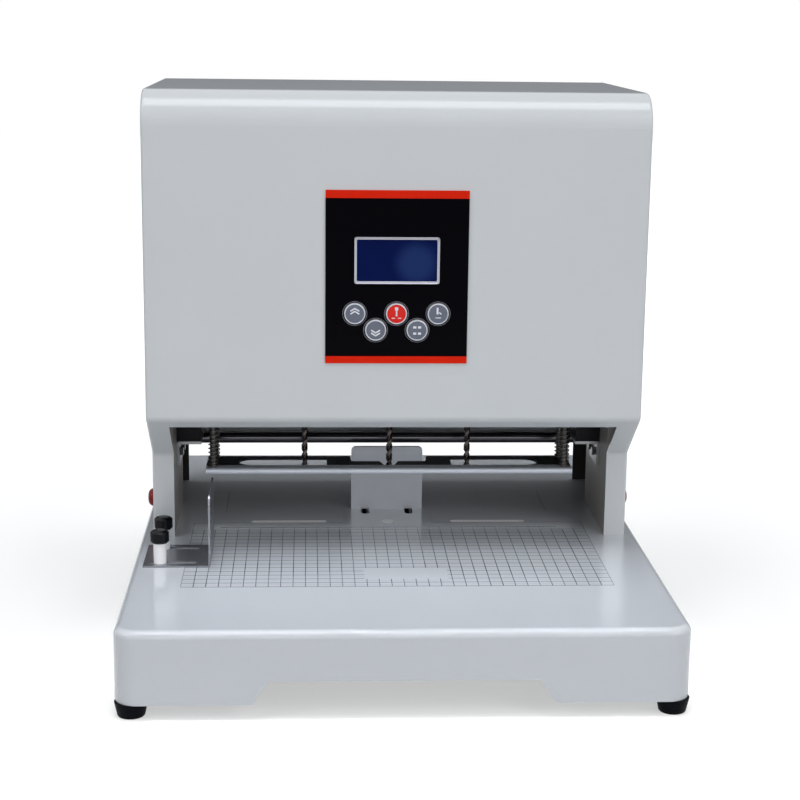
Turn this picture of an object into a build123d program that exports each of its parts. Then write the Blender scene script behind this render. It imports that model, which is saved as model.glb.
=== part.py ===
from build123d import *

import os
from math import cos, hypot, pi, radians, sin, tan

# Electric three-hole paper drill for a desk.
# Lengths are millimetres. The origin is on the floor below the middle of the table,
# +Z is up, -Y is the operator's side and +X is the operator's right.

os.makedirs("parts", exist_ok=True)

# Clearances
gap = 0.3  # between pieces that move past each other
run_fit = 0.05  # radial, shaft in a running bore
seat_fit = 0.02  # radial, piece pressed or seated in a bore

# Table tray and feet
table_width = 438.0
table_depth = 542.0
apron_height = 58.0
foot_height = 12.0
table_wall = 2.0
table_corner = 18.0
table_edge = 6.0
rim_width = 28.0
arch_rise = 18.7
arch_width_bottom = 230.0
arch_width_top = 204.0
foot_inset = 12.6
foot_top_diameter = 25.6
foot_tip_diameter = 21.0
table_top = foot_height + apron_height

# Steel plate under the table top
base_thick = 8.0
base_width = table_width - rim_width
base_front = -112.0
base_back = 112.0
base_z = table_top - table_wall - base_thick

# Drilling line and drill pads let into the table
drill_line = 21.0
pad_length = 68.0
pad_width = 7.0
pad_x = 90.0
centre_pad_diameter = 12.0

# Side plates and top plate of the inner frame
side_inner = 190.0
side_thick = 6.0
side_rear_y = 90.0
top_thick = 10.0
top_back = 98.0

# Casing: columns, sloped shoulders and head in one folded skin
casing_width = 416.0
sheet = 1.5
column_front = -25.0
column_bend_z = 145.0
head_front = -80.0
head_bottom = 187.0
head_top = 459.0
head_back = 169.0
head_room = 59.0
side_top = head_top - head_room
fold_radius = 28.0
brow_radius = 7.0
bend_radius = 5.0
back_radius = 4.0
side_round = 2.4
flange_inner = 189.5
lip_length = 13.0
back_rail = 13.0

# Rear cover
cover_bottom = 118.0
cover_lap = 7.0
cover_lip = 12.0
vent_length = 46.0
vent_width = 4.0
vent_pitch = 10.0
vent_rows = 9
vent_x = 70.0
vent_drop = 89.0

# Control panel on the head
panel_width = 117.8
panel_bottom = 236.4
panel_top = 380.0
panel_thick = 1.2
panel_lap = 8.0
display_width = 70.2
display_height = 38.4
display_bottom = 303.3
display_rim = 2.0
display_proud = 0.5
key_diameter = 17.6
key_proud = 1.6
key_edge = 1.2
key_depth = 4.6
key_stem = 5.0
key_travel = 1.2
upper_keys_z = 278.2
lower_keys_z = 264.4
upper_keys_reach = 34.5
lower_keys_reach = 17.2
board_thick = 1.6
board_back = 12.0
switch_size = 6.0
switch_height = 3.7
standoff_diameter = 6.0
standoff_inset = 5.0

# Start buttons in the side faces
button_y = 13.0
button_z = 95.5
button_diameter = 16.0
button_proud = 7.5
button_dome = 2.6
button_depth = 4.7
button_cup_wall = 2.4
button_floor = 2.0

# Screws
screw_head = 7.6
screw_head_height = 3.0
plate_screw_front = 0.0
plate_screw_back = 70.0
cover_screw_pitch_x = 128.0
cover_screw_pitch_z = 100.0
cover_screw_lap = 3.5

# Guide columns on angle brackets, and the polished bar across the throat
column_diameter = 12.0
column_reach = 179.0
column_y = 37.0
bracket_thick = 2.5
bracket_width = 40.0
bracket_lug = 22.0
bracket_leg = 22.5
bracket_top = 145.5
block_height = 20.0
block_edge = 1.0
bar_diameter = 10.0
bar_y = 83.0
bar_z = 133.4
bar_edge = 0.8

# Press beam that clamps the paper
press_gap = 49.4
press_half = 163.5
press_height = 5.2
press_front = 1.0
press_bar_depth = 13.0
press_nose = 2.5
press_ledge = 10.0
press_plate_thick = 2.0
press_plate_back = 47.0
press_middle_back = 28.0
press_recess_half = 33.8
window_inner = 56.0
window_outer = 135.0
window_depth = 26.0
notch_front = 9.5
notch_back = 16.5
press_corner = 3.0
press_recess_run = 1.0
press_bottom = table_top + press_gap
press_top = press_bottom + press_height

# Press rods and springs
rod_reach = 157.0
rod_spread = 32.0
rod_centre_y = 25.0
rod_diameter = 6.0
rod_nut_diameter = 9.0
rod_nut_height = 4.0
rod_tail = 3.0
spring_length = 60.0
spring_outer = 9.0
spring_wire = 1.0
spring_turns = 18
seat_diameter = 9.0
seat_drop = 29.9
seat_z = press_top + spring_length

# Carriage that carries the spindles
carriage_z = seat_z + seat_drop
carriage_thick = 12.0
carriage_front = -16.0
carriage_back = 96.0
carriage_side_gap = 0.8
carriage_top = carriage_z + carriage_thick
column_bush_diameter = 18.0
column_bush_length = 30.0

# Spindle units
left_unit_x = -76.0
right_unit_x = 70.0
unit_reach_min = 60.0
unit_reach_max = 120.0
flange_width = 52.0
flange_depth = 66.0
flange_thick = 8.0
flange_corner = 5.0
nose_diameter = 36.0
nose_drop = 18.8
motor_diameter = 50.0
motor_room = 11.5
motor_edge = 3.0
spindle_diameter = 16.0
chuck_diameter = 21.0
chuck_length = 28.0
chuck_nose_diameter = 13.0
chuck_cone = 9.0
chuck_clear = 3.0
spindle_tail = 24.0
drill_diameter = 5.5
drill_core = 1.9
drill_land = 50.0
drill_lead = 18.0
drill_flute = 44.0
drill_grip = 18.0
drill_point = 1.7
drill_tip = 0.15
drill_step = 36.0

# Lift drive
screw_y = 75.0
screw_diameter = 16.0
screw_bottom = 148.0
screw_journal = 12.0
screw_shoulder_gap = 0.5
nut_flange = 36.0
nut_flange_thick = 8.0
nut_barrel = 22.0
nut_length = 34.0
bearing_outer = 26.0
pulley_gap = 2.0
pulley_height = 12.0
belt_width = 9.0
screw_pulley_diameter = 46.0
motor_pulley_diameter = 20.0
belt_thick = 1.6
lift_motor_x = 74.0
lift_motor_y = 50.0
lift_motor_diameter = 58.0
lift_motor_length = 72.0
lift_motor_boss = 22.0
lift_shaft_diameter = 8.0
lift_shaft_depth = 20.0

# Power supply and mains inlet on the rear cover
supply_width = 120.0
supply_depth = 52.0
supply_height = 150.0
supply_x = -70.0
supply_z = 150.0
supply_edge = 2.0
inlet_x = 128.0
inlet_z = 150.0
inlet_width = 50.0
inlet_height = 66.0
inlet_flange = 2.5
inlet_body_width = 34.0
inlet_body_height = 52.0
inlet_body_depth = 32.0
socket_width = 25.0
socket_height = 17.0
socket_depth = 17.0
socket_drop = 14.0
pin_width = 2.0
pin_height = 4.0
pin_length = 11.0
pin_pitch = 7.0
rocker_width = 13.0
rocker_height = 18.4
rocker_rise = 14.0
rocker_throw = 8.0
rocker_depth = 5.0
rocker_pivot = 3.0
rocker_pin = 3.0
rocker_pin_reach = 1.5
rocker_pocket = 13.0

# Side fence with its two clamps
fence_thick = 1.5
fence_front = -114.0
fence_back = -54.0
fence_height = 61.3
fence_corner = 8.0
fence_bend = 2.0
fence_slot_length = 40.0
fence_slot_width = 5.5
clamp_inset = 23.0
clamp_x = clamp_inset - table_width / 2
clamp_front_y = -104.0
clamp_back_y = -64.0
fence_reach = 42.3
fence_tail = 13.7
fence_slot_reach = 30.4
fence_x = clamp_x + fence_reach
fence_left = clamp_x - fence_tail
fence_slot_end = clamp_x + fence_slot_reach
stud_diameter = 5.0
spacer_diameter = 10.6
spacer_height = 17.5
knob_diameter = 15.6
knob_height = 10.8
knob_grooves = 12
knob_groove_depth = 0.5
knob_edge = 1.4
knob_bite = 6.0

# Back gauge
gauge_y = 63.0
gauge_width = 65.8
gauge_height = 59.4
gauge_thick = 3.0
gauge_corner = 4.5
gauge_foot = 22.0
gauge_slot_x = 20.0
gauge_slot_width = 7.4
gauge_slot_front = 46.0
gauge_slot_length = 48.0
gauge_screw_y = 78.0
gauge_screw_head = 10.0
gauge_screw_shank = 4.0
gauge_screw_height = 6.0
gauge_nut_height = 4.0


def finish(piece, name):
    """Label a finished piece and write it under its node's name."""
    piece.part.label = name
    export_step(piece.part, f"parts/{name}.step")


# Places shared by the holes and the screws that fill them
plate_screws = [
    (sign * (side_inner + side_thick / 2), y)
    for sign in (-1, 1)
    for y in (plate_screw_front, plate_screw_back)
]
gauge_slot_y = gauge_slot_front + gauge_slot_length / 2
cover_top = head_top - back_rail + cover_lap
cover_screw_x = flange_inner + cover_screw_lap
cover_screw_z = (cover_bottom + head_top - back_rail) / 2
cover_places = [
    (sign * cover_screw_x, cover_screw_z + step * cover_screw_pitch_z)
    for sign in (-1, 1)
    for step in (-1.5, -0.5, 0.5, 1.5)
]
cover_places += [
    (step * cover_screw_pitch_x, head_top - back_rail + cover_screw_lap) for step in (-1, 0, 1)
]

# Hollow of the table tray, bevelled along its top
with BuildPart() as table_pocket:
    with BuildSketch(Plane.XY.offset(foot_height)):
        RectangleRounded(
            table_width - 2 * table_wall, table_depth - 2 * table_wall, table_corner - table_wall
        )
    extrude(amount=apron_height - table_wall)
    chamfer(table_pocket.faces().sort_by(Axis.Z)[-1].edges(), table_edge - table_wall)

# Table tray: folded top and aprons, a rim to stand on and an arch in the front apron
with BuildPart() as base_table:
    with BuildSketch(Plane.XY.offset(foot_height)):
        RectangleRounded(table_width, table_depth, table_corner)
    extrude(amount=apron_height)
    fillet(base_table.faces().sort_by(Axis.Z)[-1].edges(), table_edge)
    add(table_pocket.part, mode=Mode.SUBTRACT)
    with BuildSketch(Plane.XY.offset(foot_height)):
        RectangleRounded(
            table_width - table_wall, table_depth - table_wall, table_corner - table_wall / 2
        )
        Rectangle(
            table_width - 2 * rim_width, table_depth - 2 * rim_width, mode=Mode.SUBTRACT
        )
    extrude(amount=table_wall)
    with BuildSketch(Plane.XZ.offset(table_depth / 2)):
        with BuildLine():
            Polyline(
                (-arch_width_bottom / 2, foot_height),
                (-arch_width_top / 2, foot_height + arch_rise),
                (arch_width_top / 2, foot_height + arch_rise),
                (arch_width_bottom / 2, foot_height),
                close=True,
            )
        make_face()
    extrude(amount=-rim_width, mode=Mode.SUBTRACT)
    with BuildSketch(Plane.XY.offset(table_top)):
        with Locations((-pad_x, drill_line), (pad_x, drill_line)):
            SlotOverall(pad_length, pad_width)
        with Locations((0, drill_line)):
            Circle(centre_pad_diameter / 2)
        with Locations((-gauge_slot_x, gauge_slot_y), (gauge_slot_x, gauge_slot_y)):
            SlotOverall(gauge_slot_length, gauge_slot_width, rotation=90)
        with Locations((clamp_x, clamp_front_y), (clamp_x, clamp_back_y)):
            Circle(stud_diameter / 2 + seat_fit)
    extrude(amount=-table_wall, mode=Mode.SUBTRACT)
finish(base_table, "base_table")

# Steel base plate bolted under the table top
with BuildPart() as base_plate:
    with BuildSketch(Plane.XY.offset(base_z)):
        with Locations((0, (base_front + base_back) / 2)):
            Rectangle(base_width, base_back - base_front)
        with Locations((-gauge_slot_x, gauge_slot_y), (gauge_slot_x, gauge_slot_y)):
            SlotOverall(gauge_slot_length, gauge_slot_width, rotation=90, mode=Mode.SUBTRACT)
    extrude(amount=base_thick)
finish(base_plate, "base_plate")

# Nylon drill pads, flush with the table
with BuildPart() as drill_pads:
    with BuildSketch(Plane.XY.offset(base_z + base_thick)):
        with Locations((-pad_x, drill_line), (pad_x, drill_line)):
            SlotOverall(pad_length - 2 * seat_fit, pad_width - 2 * seat_fit)
        with Locations((0, drill_line)):
            Circle(centre_pad_diameter / 2 - seat_fit)
    extrude(amount=table_wall)
finish(drill_pads, "drill_pads")

# Four tapered rubber feet
foot_x = table_width / 2 - foot_inset
foot_y = table_depth / 2 - foot_inset
with BuildPart() as feet:
    with GridLocations(2 * foot_x, 2 * foot_y, 2, 2):
        Cone(
            foot_tip_diameter / 2,
            foot_top_diameter / 2,
            foot_height,
            align=(Align.CENTER, Align.CENTER, Align.MIN),
        )
finish(feet, "feet")

# Side plates of the inner frame, standing on the table
side_front = column_front + sheet + gap
bracket_bolts = (
    (column_y - bracket_width / 4, bracket_top - bracket_leg / 2),
    (column_y + bracket_width / 4, bracket_top - bracket_leg / 2),
)
for side, sign in (("left", -1), ("right", 1)):
    with BuildPart() as side_plate:
        with BuildSketch(Plane.YZ.offset(sign * side_inner)):
            with Locations(((side_front + side_rear_y) / 2, (table_top + side_top) / 2)):
                Rectangle(side_rear_y - side_front, side_top - table_top)
        extrude(amount=sign * side_thick)
    finish(side_plate, f"side_plate_{side}")

# Top plate across the side plates
with BuildPart() as top_plate:
    with BuildSketch(Plane.XY.offset(side_top)):
        with Locations((0, (side_front + top_back) / 2)):
            Rectangle(2 * (side_inner + side_thick), top_back - side_front)
        with Locations((-column_reach, column_y), (column_reach, column_y)):
            Circle(column_diameter / 2 + seat_fit, mode=Mode.SUBTRACT)
        with Locations((0, screw_y)):
            Circle(bearing_outer / 2 + seat_fit, mode=Mode.SUBTRACT)
        with Locations((lift_motor_x, lift_motor_y)):
            Circle(lift_motor_boss / 2 + seat_fit, mode=Mode.SUBTRACT)
    extrude(amount=top_thick)
finish(top_plate, "top_plate")

# Outline of the casing seen from the side, and the run of its sloped shoulder
with BuildSketch(Plane.YZ.offset(-casing_width / 2)) as hood_outline:
    with BuildLine():
        Polyline(
            (column_front, table_top),
            (column_front, column_bend_z),
            (head_front, head_bottom),
            (head_front, head_top),
            (head_back, head_top),
            (head_back, table_top),
            close=True,
        )
    make_face()
    fillet(hood_outline.vertices().group_by(Axis.Y)[-1].sort_by(Axis.X)[0], fold_radius)
    fillet(hood_outline.vertices().group_by(Axis.Y)[-1].sort_by(Axis.X)[-1], back_radius)
    fillet(hood_outline.vertices().group_by(Axis.X)[0].sort_by(Axis.Y)[0], brow_radius)
    fillet(
        hood_outline.vertices()
        .filter_by_position(Axis.X, column_front - gap, column_front + gap)
        .sort_by(Axis.Y)[-1],
        bend_radius,
    )
slope_run = column_front - head_front
slope_drop = head_bottom - column_bend_z
slope_length = hypot(slope_run, slope_drop)
along = (slope_run / slope_length, -slope_drop / slope_length)
outward = (-slope_drop / slope_length, -slope_run / slope_length)
lip_end = (head_front + lip_length * along[0], head_bottom + lip_length * along[1])
cut_reach = 4 * sheet

upper_keys = [(x, upper_keys_z) for x in (-upper_keys_reach, 0, upper_keys_reach)]
lower_keys = [(x, lower_keys_z) for x in (-lower_keys_reach, lower_keys_reach)]
key_places = dict(
    zip(("key_up", "key_drill", "key_set", "key_down", "key_mode"), upper_keys + lower_keys)
)
display_centre = (0, display_bottom + display_height / 2)
panel_centre = (0, (panel_bottom + panel_top) / 2)

# Casing: one folded skin, open at the bottom, under the shoulders and at the back
with BuildPart() as casing:
    extrude(hood_outline.sketch, amount=casing_width)
    side_edges = casing.faces().filter_by(Axis.X).edges()
    fillet([e for e in side_edges if e.center().Z > table_top + gap], side_round)
    with BuildSketch(Plane.YZ.offset(sheet - casing_width / 2)):
        add(hood_outline.sketch_local)
        offset(amount=-sheet, mode=Mode.REPLACE)
        with Locations(((column_front + head_back) / 2, table_top + sheet / 2)):
            Rectangle(head_back - column_front - 2 * sheet, 2 * sheet)
    extrude(amount=casing_width - 2 * sheet, mode=Mode.SUBTRACT)
    with BuildSketch(Plane.YZ.offset(-flange_inner)):
        with BuildLine():
            Polyline(
                (lip_end[0] + cut_reach * outward[0], lip_end[1] + cut_reach * outward[1]),
                (lip_end[0] - cut_reach * outward[0], lip_end[1] - cut_reach * outward[1]),
                (column_front + cut_reach, column_bend_z + cut_reach),
                (column_front + cut_reach, table_top),
                (column_front - cut_reach, table_top),
                (column_front + cut_reach * outward[0], column_bend_z + cut_reach * outward[1]),
                close=True,
            )
        make_face()
    extrude(amount=2 * flange_inner, mode=Mode.SUBTRACT)
    with BuildSketch(Plane.XZ.offset(-head_back)):
        with Locations((0, (table_top + head_top - back_rail) / 2)):
            Rectangle(2 * flange_inner, head_top - back_rail - table_top)
    extrude(amount=sheet, mode=Mode.SUBTRACT)
    with BuildSketch(Plane.XZ.offset(-head_front)):
        with Locations(panel_centre):
            Rectangle(panel_width - 2 * panel_lap, panel_top - panel_bottom - 2 * panel_lap)
    extrude(amount=-sheet, mode=Mode.SUBTRACT)
    with BuildSketch(Plane.YZ.offset(-casing_width / 2)):
        with Locations((button_y, button_z)):
            Circle(button_diameter / 2 + gap)
    extrude(amount=casing_width, mode=Mode.SUBTRACT)
finish(casing, "casing")

# Rear cover with vents, an inward lip and the cut-out for the mains inlet
with BuildPart() as rear_cover:
    with BuildSketch(Plane.XZ.offset(-head_back)):
        with Locations((0, (cover_bottom + cover_top) / 2)):
            Rectangle(2 * (flange_inner + cover_lap), cover_top - cover_bottom)
        vent_z = head_top - vent_drop
        with Locations((-vent_x, vent_z), (vent_x, vent_z)):
            with GridLocations(0, vent_pitch, 1, vent_rows):
                Rectangle(vent_length, vent_width, mode=Mode.SUBTRACT)
        with Locations((inlet_x, inlet_z + inlet_height / 2)):
            Rectangle(inlet_body_width, inlet_body_height, mode=Mode.SUBTRACT)
    extrude(amount=-sheet)
    with BuildSketch(Plane.XZ.offset(-head_back)):
        with Locations((0, cover_bottom + sheet / 2)):
            Rectangle(2 * (flange_inner - sheet), sheet)
    extrude(amount=cover_lip)
finish(rear_cover, "rear_cover")

# Zinc angle brackets on the side plates
with BuildPart() as column_brackets:
    with BuildSketch(Plane.XZ.offset(-(column_y - bracket_width / 2))):
        with BuildLine():
            Polyline(
                (side_inner, bracket_top),
                (side_inner - bracket_lug, bracket_top),
                (side_inner - bracket_lug, bracket_top - bracket_thick),
                (side_inner - bracket_thick, bracket_top - bracket_thick),
                (side_inner - bracket_thick, bracket_top - bracket_leg),
                (side_inner, bracket_top - bracket_leg),
                close=True,
            )
        make_face()
        mirror(about=Plane.YZ)
    extrude(amount=-bracket_width)
    for sign in (-1, 1):
        corner = column_brackets.edges().filter_by(Axis.Y).sort_by_distance(
            (sign * side_inner, column_y, bracket_top)
        )[0]
        fillet(corner, bracket_thick)
finish(column_brackets, "column_brackets")

# Black clamp blocks round the feet of the guide columns
with BuildPart() as column_feet:
    with BuildSketch(Plane.XY.offset(bracket_top)):
        for sign in (-1, 1):
            with Locations((sign * (side_inner - bracket_lug / 2), column_y)):
                Rectangle(bracket_lug - 2 * seat_fit, bracket_width)
            with Locations((sign * column_reach, column_y)):
                Circle(column_diameter / 2 + seat_fit, mode=Mode.SUBTRACT)
    extrude(amount=block_height)
    chamfer(column_feet.faces().sort_by(Axis.Z)[-2:].edges().filter_by(Axis.Y), block_edge)
finish(column_feet, "column_feet")

# Guide columns from the brackets to the top plate
with BuildPart() as guide_columns:
    with BuildSketch(Plane.XY.offset(bracket_top)):
        with Locations((-column_reach, column_y), (column_reach, column_y)):
            Circle(column_diameter / 2)
    extrude(amount=side_top + top_thick - bracket_top)
finish(guide_columns, "guide_columns")

# Polished bar across the throat, necked at both ends
with BuildPart() as cross_bar:
    with BuildSketch(Plane.YZ.offset(-side_inner)):
        with Locations((bar_y, bar_z)):
            Circle(bar_diameter / 2)
    extrude(amount=2 * side_inner)
    chamfer(cross_bar.edges().filter_by(GeomType.CIRCLE), bar_edge)
finish(cross_bar, "cross_bar")


def cut_press_openings():
    """Cut the two drill windows and the centre notch out of the open plate or ledge."""
    with BuildSketch(Plane.XY.offset(press_bottom)) as openings:
        for sign in (-1, 1):
            straight = window_outer - window_inner - window_depth / 2
            with Locations((sign * (window_inner + straight / 2), window_y)):
                Rectangle(straight, window_depth)
            with Locations((sign * (window_inner + straight), window_y)):
                Circle(window_depth / 2)
        with BuildLine():
            Polyline(
                (-notch_front / 2, press_ledge_front),
                (notch_front / 2, press_ledge_front),
                (notch_back / 2, press_middle_back),
                (-notch_back / 2, press_middle_back),
                close=True,
            )
        make_face()
    extrude(openings.sketch, amount=press_height, mode=Mode.SUBTRACT)


# Places shared by the press, its rods and the carriage
press_ledge_front = press_front + press_bar_depth
window_y = press_ledge_front + window_depth / 2
rod_places = [
    (sign * rod_reach, rod_centre_y + step * rod_spread / 2) for sign in (-1, 1) for step in (-1, 1)
]
rear_rods = [place for place in rod_places if place[1] > rod_centre_y]

# Press beam: a nosed bar with a thinner ledge behind it
with BuildPart() as press_bar:
    with BuildSketch(Plane.YZ.offset(-press_half)):
        with BuildLine():
            Polyline(
                (press_front, press_bottom),
                (press_front, press_top),
                (press_ledge_front, press_top),
                (press_ledge_front, press_top - press_plate_thick),
                (press_ledge_front + press_ledge, press_top - press_plate_thick),
                (press_ledge_front + press_ledge, press_bottom),
                close=True,
            )
        nose = make_face()
        fillet(nose.vertices().group_by(Axis.X)[0], press_nose)
    extrude(amount=2 * press_half)
    cut_press_openings()
    with BuildSketch(Plane.XY.offset(press_bottom)):
        with Locations(*rod_places):
            Circle(rod_diameter / 2 + seat_fit)
    extrude(amount=press_height, mode=Mode.SUBTRACT)
finish(press_bar, "press_bar")

# Black plates on the ledge, one on each side, recessed in the middle for the back gauge
with BuildPart() as press_plates:
    with BuildSketch(Plane.XY.offset(press_top - press_plate_thick)):
        with BuildLine():
            Polyline(
                (0, press_ledge_front),
                (press_half, press_ledge_front),
                (press_half, press_plate_back),
                (press_recess_half + press_recess_run, press_plate_back),
                (press_recess_half, press_middle_back),
                (0, press_middle_back),
            )
            mirror(about=Plane.YZ)
        make_face()
        with Locations(*rear_rods):
            Circle(rod_diameter / 2 + seat_fit, mode=Mode.SUBTRACT)
    extrude(amount=press_plate_thick)
    cut_press_openings()
    fillet(
        press_plates.edges().filter_by(Axis.Z).filter_by_position(
            Axis.Y, press_middle_back - gap, press_middle_back + gap
        ),
        press_corner,
    )
finish(press_plates, "press_plates")

# Press rods, with hexagon nuts under the plate and above the carriage
with BuildPart() as press_rods:
    with BuildSketch(Plane.XY.offset(press_bottom)):
        with Locations(*rod_places):
            Circle(rod_diameter / 2)
    extrude(amount=carriage_top + rod_nut_height + rod_tail - press_bottom)
    with BuildSketch(Plane.XY.offset(press_bottom)):
        with Locations(*rear_rods):
            RegularPolygon(rod_nut_diameter / 2, 6)
    extrude(amount=press_height - press_plate_thick)
    with BuildSketch(Plane.XY.offset(carriage_top)):
        with Locations(*rod_places):
            RegularPolygon(rod_nut_diameter / 2, 6)
    extrude(amount=rod_nut_height)
finish(press_rods, "press_rods")


def joint_arcs(start, start_way, end, end_way):
    """Two tangent arcs between two points with given unit directions."""
    span = end - start
    ways = start_way + end_way
    spread = 2 * (1 - start_way.dot(end_way))
    reach = (-span.dot(ways) + (span.dot(ways) ** 2 + spread * span.dot(span)) ** 0.5) / spread
    middle = (start + end + (start_way - end_way) * reach) * 0.5
    first = Edge.make_tangent_arc(start, start_way, middle)
    second = Edge.make_tangent_arc(middle, first % 1, end)
    return [first, second]


def helix_point(turn):
    """Point of the spring's centre line after a number of turns."""
    angle = 2 * pi * turn
    radius = (spring_outer - spring_wire) / 2
    rise = (spring_length - 2 * spring_wire) * turn / spring_turns
    return Vector(radius * cos(angle), radius * sin(angle), spring_wire + rise)


def helix_way(turn):
    """Direction of the spring's centre line after a number of turns."""
    angle = 2 * pi * turn
    radius = (spring_outer - spring_wire) / 2
    rise = (spring_length - 2 * spring_wire) / (2 * pi * spring_turns)
    return Vector(-radius * sin(angle), radius * cos(angle), rise).normalized()


# Press springs: each one unbroken wire, with its ends square to the plate and the seat
up = Vector(0, 0, 1)
stops = [0.25 + 0.5 * i for i in range(2 * spring_turns)]
low_end = helix_point(0)
high_end = helix_point(spring_turns)
spring_edges = [Edge.make_line(low_end - up * spring_wire, low_end)]
spring_edges += joint_arcs(low_end, up, helix_point(stops[0]), helix_way(stops[0]))
for begin, end in zip(stops, stops[1:]):
    spring_edges += joint_arcs(helix_point(begin), helix_way(begin), helix_point(end), helix_way(end))
spring_edges += joint_arcs(helix_point(stops[-1]), helix_way(stops[-1]), high_end, up)
spring_edges.append(Edge.make_line(high_end, high_end + up * spring_wire))
with BuildPart() as press_spring:
    with BuildSketch(Plane(origin=low_end - up * spring_wire, z_dir=up)):
        Rectangle(spring_wire, spring_wire)
    sweep(path=Wire(spring_edges))
with BuildPart() as press_springs:
    with Locations(*[(x, y, press_top) for x, y in rod_places]):
        add(press_spring.part)
finish(press_springs, "press_springs")

# Least gap between turns, measured on points of the wire half a turn or more apart
spring_points = [edge @ share for edge in spring_edges for share in (0, 0.25, 0.5, 0.75)]
half_turn = len(spring_points) // (2 * spring_turns)
spring_pitch = min(
    (spring_points[i] - spring_points[j]).length
    for i in range(len(spring_points))
    for j in range(i + half_turn, len(spring_points))
)
print("least gap between spring turns, mm:", round(spring_pitch - spring_wire * 2**0.5, 2))

# Carriage plate, slotted for the side units and bored for the centre one
unit_travel = unit_reach_max - unit_reach_min
nose_slot = nose_diameter + 2 * gap
with BuildPart() as carriage_plate:
    with BuildSketch(Plane.XY.offset(carriage_z)):
        with Locations((0, (carriage_front + carriage_back) / 2)):
            Rectangle(2 * (side_inner - carriage_side_gap), carriage_back - carriage_front)
        for sign in (-1, 1):
            with Locations((sign * (unit_reach_min + unit_travel / 2), drill_line)):
                SlotOverall(unit_travel + nose_slot, nose_slot, mode=Mode.SUBTRACT)
            with Locations((sign * column_reach, column_y)):
                Circle(column_bush_diameter / 2 + seat_fit, mode=Mode.SUBTRACT)
        with Locations((0, drill_line)):
            Circle(nose_diameter / 2 + seat_fit, mode=Mode.SUBTRACT)
        with Locations((0, screw_y)):
            Circle(nut_barrel / 2 + seat_fit, mode=Mode.SUBTRACT)
        with Locations(*rod_places):
            Circle(seat_diameter / 2 + seat_fit, mode=Mode.SUBTRACT)
    extrude(amount=carriage_thick)
finish(carriage_plate, "carriage_plate")

# Bronze bushes of the carriage: long ones on the columns, spring seats on the rods
with BuildPart() as carriage_bushes:
    with BuildSketch(Plane.XY.offset(carriage_z)):
        for sign in (-1, 1):
            with Locations((sign * column_reach, column_y)):
                Circle(column_bush_diameter / 2)
                Circle(column_diameter / 2 + run_fit, mode=Mode.SUBTRACT)
    extrude(amount=column_bush_length)
    with BuildSketch(Plane.XY.offset(seat_z)):
        with Locations(*rod_places):
            Circle(seat_diameter / 2)
            Circle(rod_diameter / 2 + run_fit, mode=Mode.SUBTRACT)
    extrude(amount=carriage_top - seat_z)
finish(carriage_bushes, "carriage_bushes")

# Flanged lift nut on the carriage
with BuildPart() as screw_nut:
    with BuildSketch(Plane.XY.offset(carriage_top)):
        with Locations((0, screw_y)):
            Circle(nut_flange / 2)
    extrude(amount=nut_flange_thick)
    with BuildSketch(Plane.XY.offset(carriage_top)):
        with Locations((0, screw_y)):
            Circle(nut_barrel / 2)
    extrude(amount=nut_flange_thick - nut_length)
    with BuildSketch(Plane.XY.offset(carriage_top + nut_flange_thick)):
        with Locations((0, screw_y)):
            Circle(screw_diameter / 2 + run_fit)
    extrude(amount=-nut_length, mode=Mode.SUBTRACT)
finish(screw_nut, "screw_nut")


def unit_housing(name, x):
    """Spindle housing: a flange on the carriage and a bored nose through it."""
    with BuildPart() as housing:
        with BuildSketch(Plane.XY.offset(carriage_top)):
            with Locations((x, drill_line)):
                RectangleRounded(flange_width, flange_depth, flange_corner)
        extrude(amount=flange_thick)
        with BuildSketch(Plane.XY.offset(nose_bottom)):
            with Locations((x, drill_line)):
                Circle(nose_diameter / 2)
        extrude(amount=carriage_top - nose_bottom)
        with BuildSketch(Plane.XY.offset(nose_bottom)):
            with Locations((x, drill_line)):
                Circle(spindle_diameter / 2 + run_fit)
        extrude(amount=carriage_top + flange_thick - nose_bottom, mode=Mode.SUBTRACT)
    finish(housing, f"{name}_housing")


def unit_motor(name, x):
    """Round spindle motor standing on its housing."""
    motor_length = side_top - lift_motor_length - motor_room - carriage_top - flange_thick
    with BuildPart() as motor:
        with BuildSketch(Plane.XY.offset(carriage_top + flange_thick)):
            with Locations((x, drill_line)):
                Circle(motor_diameter / 2)
        extrude(amount=motor_length)
        chamfer(motor.edges().group_by(Axis.Z)[-1], motor_edge)
    finish(motor, f"{name}_motor")


def unit_chuck(name, x):
    """Chuck with a tapered nose, a bore for the drill and the spindle on top."""
    chuck_top = nose_bottom - chuck_clear
    chuck_z = chuck_top - chuck_length
    with BuildPart() as chuck:
        with BuildSketch(Plane.XZ.offset(-drill_line)):
            with BuildLine():
                Polyline(
                    (x + drill_diameter / 2 + seat_fit, chuck_z),
                    (x + chuck_nose_diameter / 2, chuck_z),
                    (x + chuck_diameter / 2, chuck_z + chuck_cone),
                    (x + chuck_diameter / 2, chuck_top),
                    (x + spindle_diameter / 2, chuck_top),
                    (x + spindle_diameter / 2, nose_bottom + spindle_tail),
                    (x, nose_bottom + spindle_tail),
                    (x, chuck_z + drill_grip),
                    (x + drill_diameter / 2 + seat_fit, chuck_z + drill_grip),
                    close=True,
                )
            make_face()
        revolve(axis=Axis((x, drill_line, 0), (0, 0, 1)))
    finish(chuck, f"{name}_chuck")


def flute_ring(x, z, turn, size=1.0):
    """Corners of a drill's section: two lands and two flutes, turned about its axis."""
    corners = [(drill_diameter / 2, -drill_land / 2), (drill_diameter / 2, drill_land / 2)]
    corners.append((drill_core / 2, 90))
    return [
        Vector(
            x + size * radius * cos(radians(turn + side + angle)),
            drill_line + size * radius * sin(radians(turn + side + angle)),
            z,
        )
        for side in (0, 180)
        for radius, angle in corners
    ]


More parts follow.
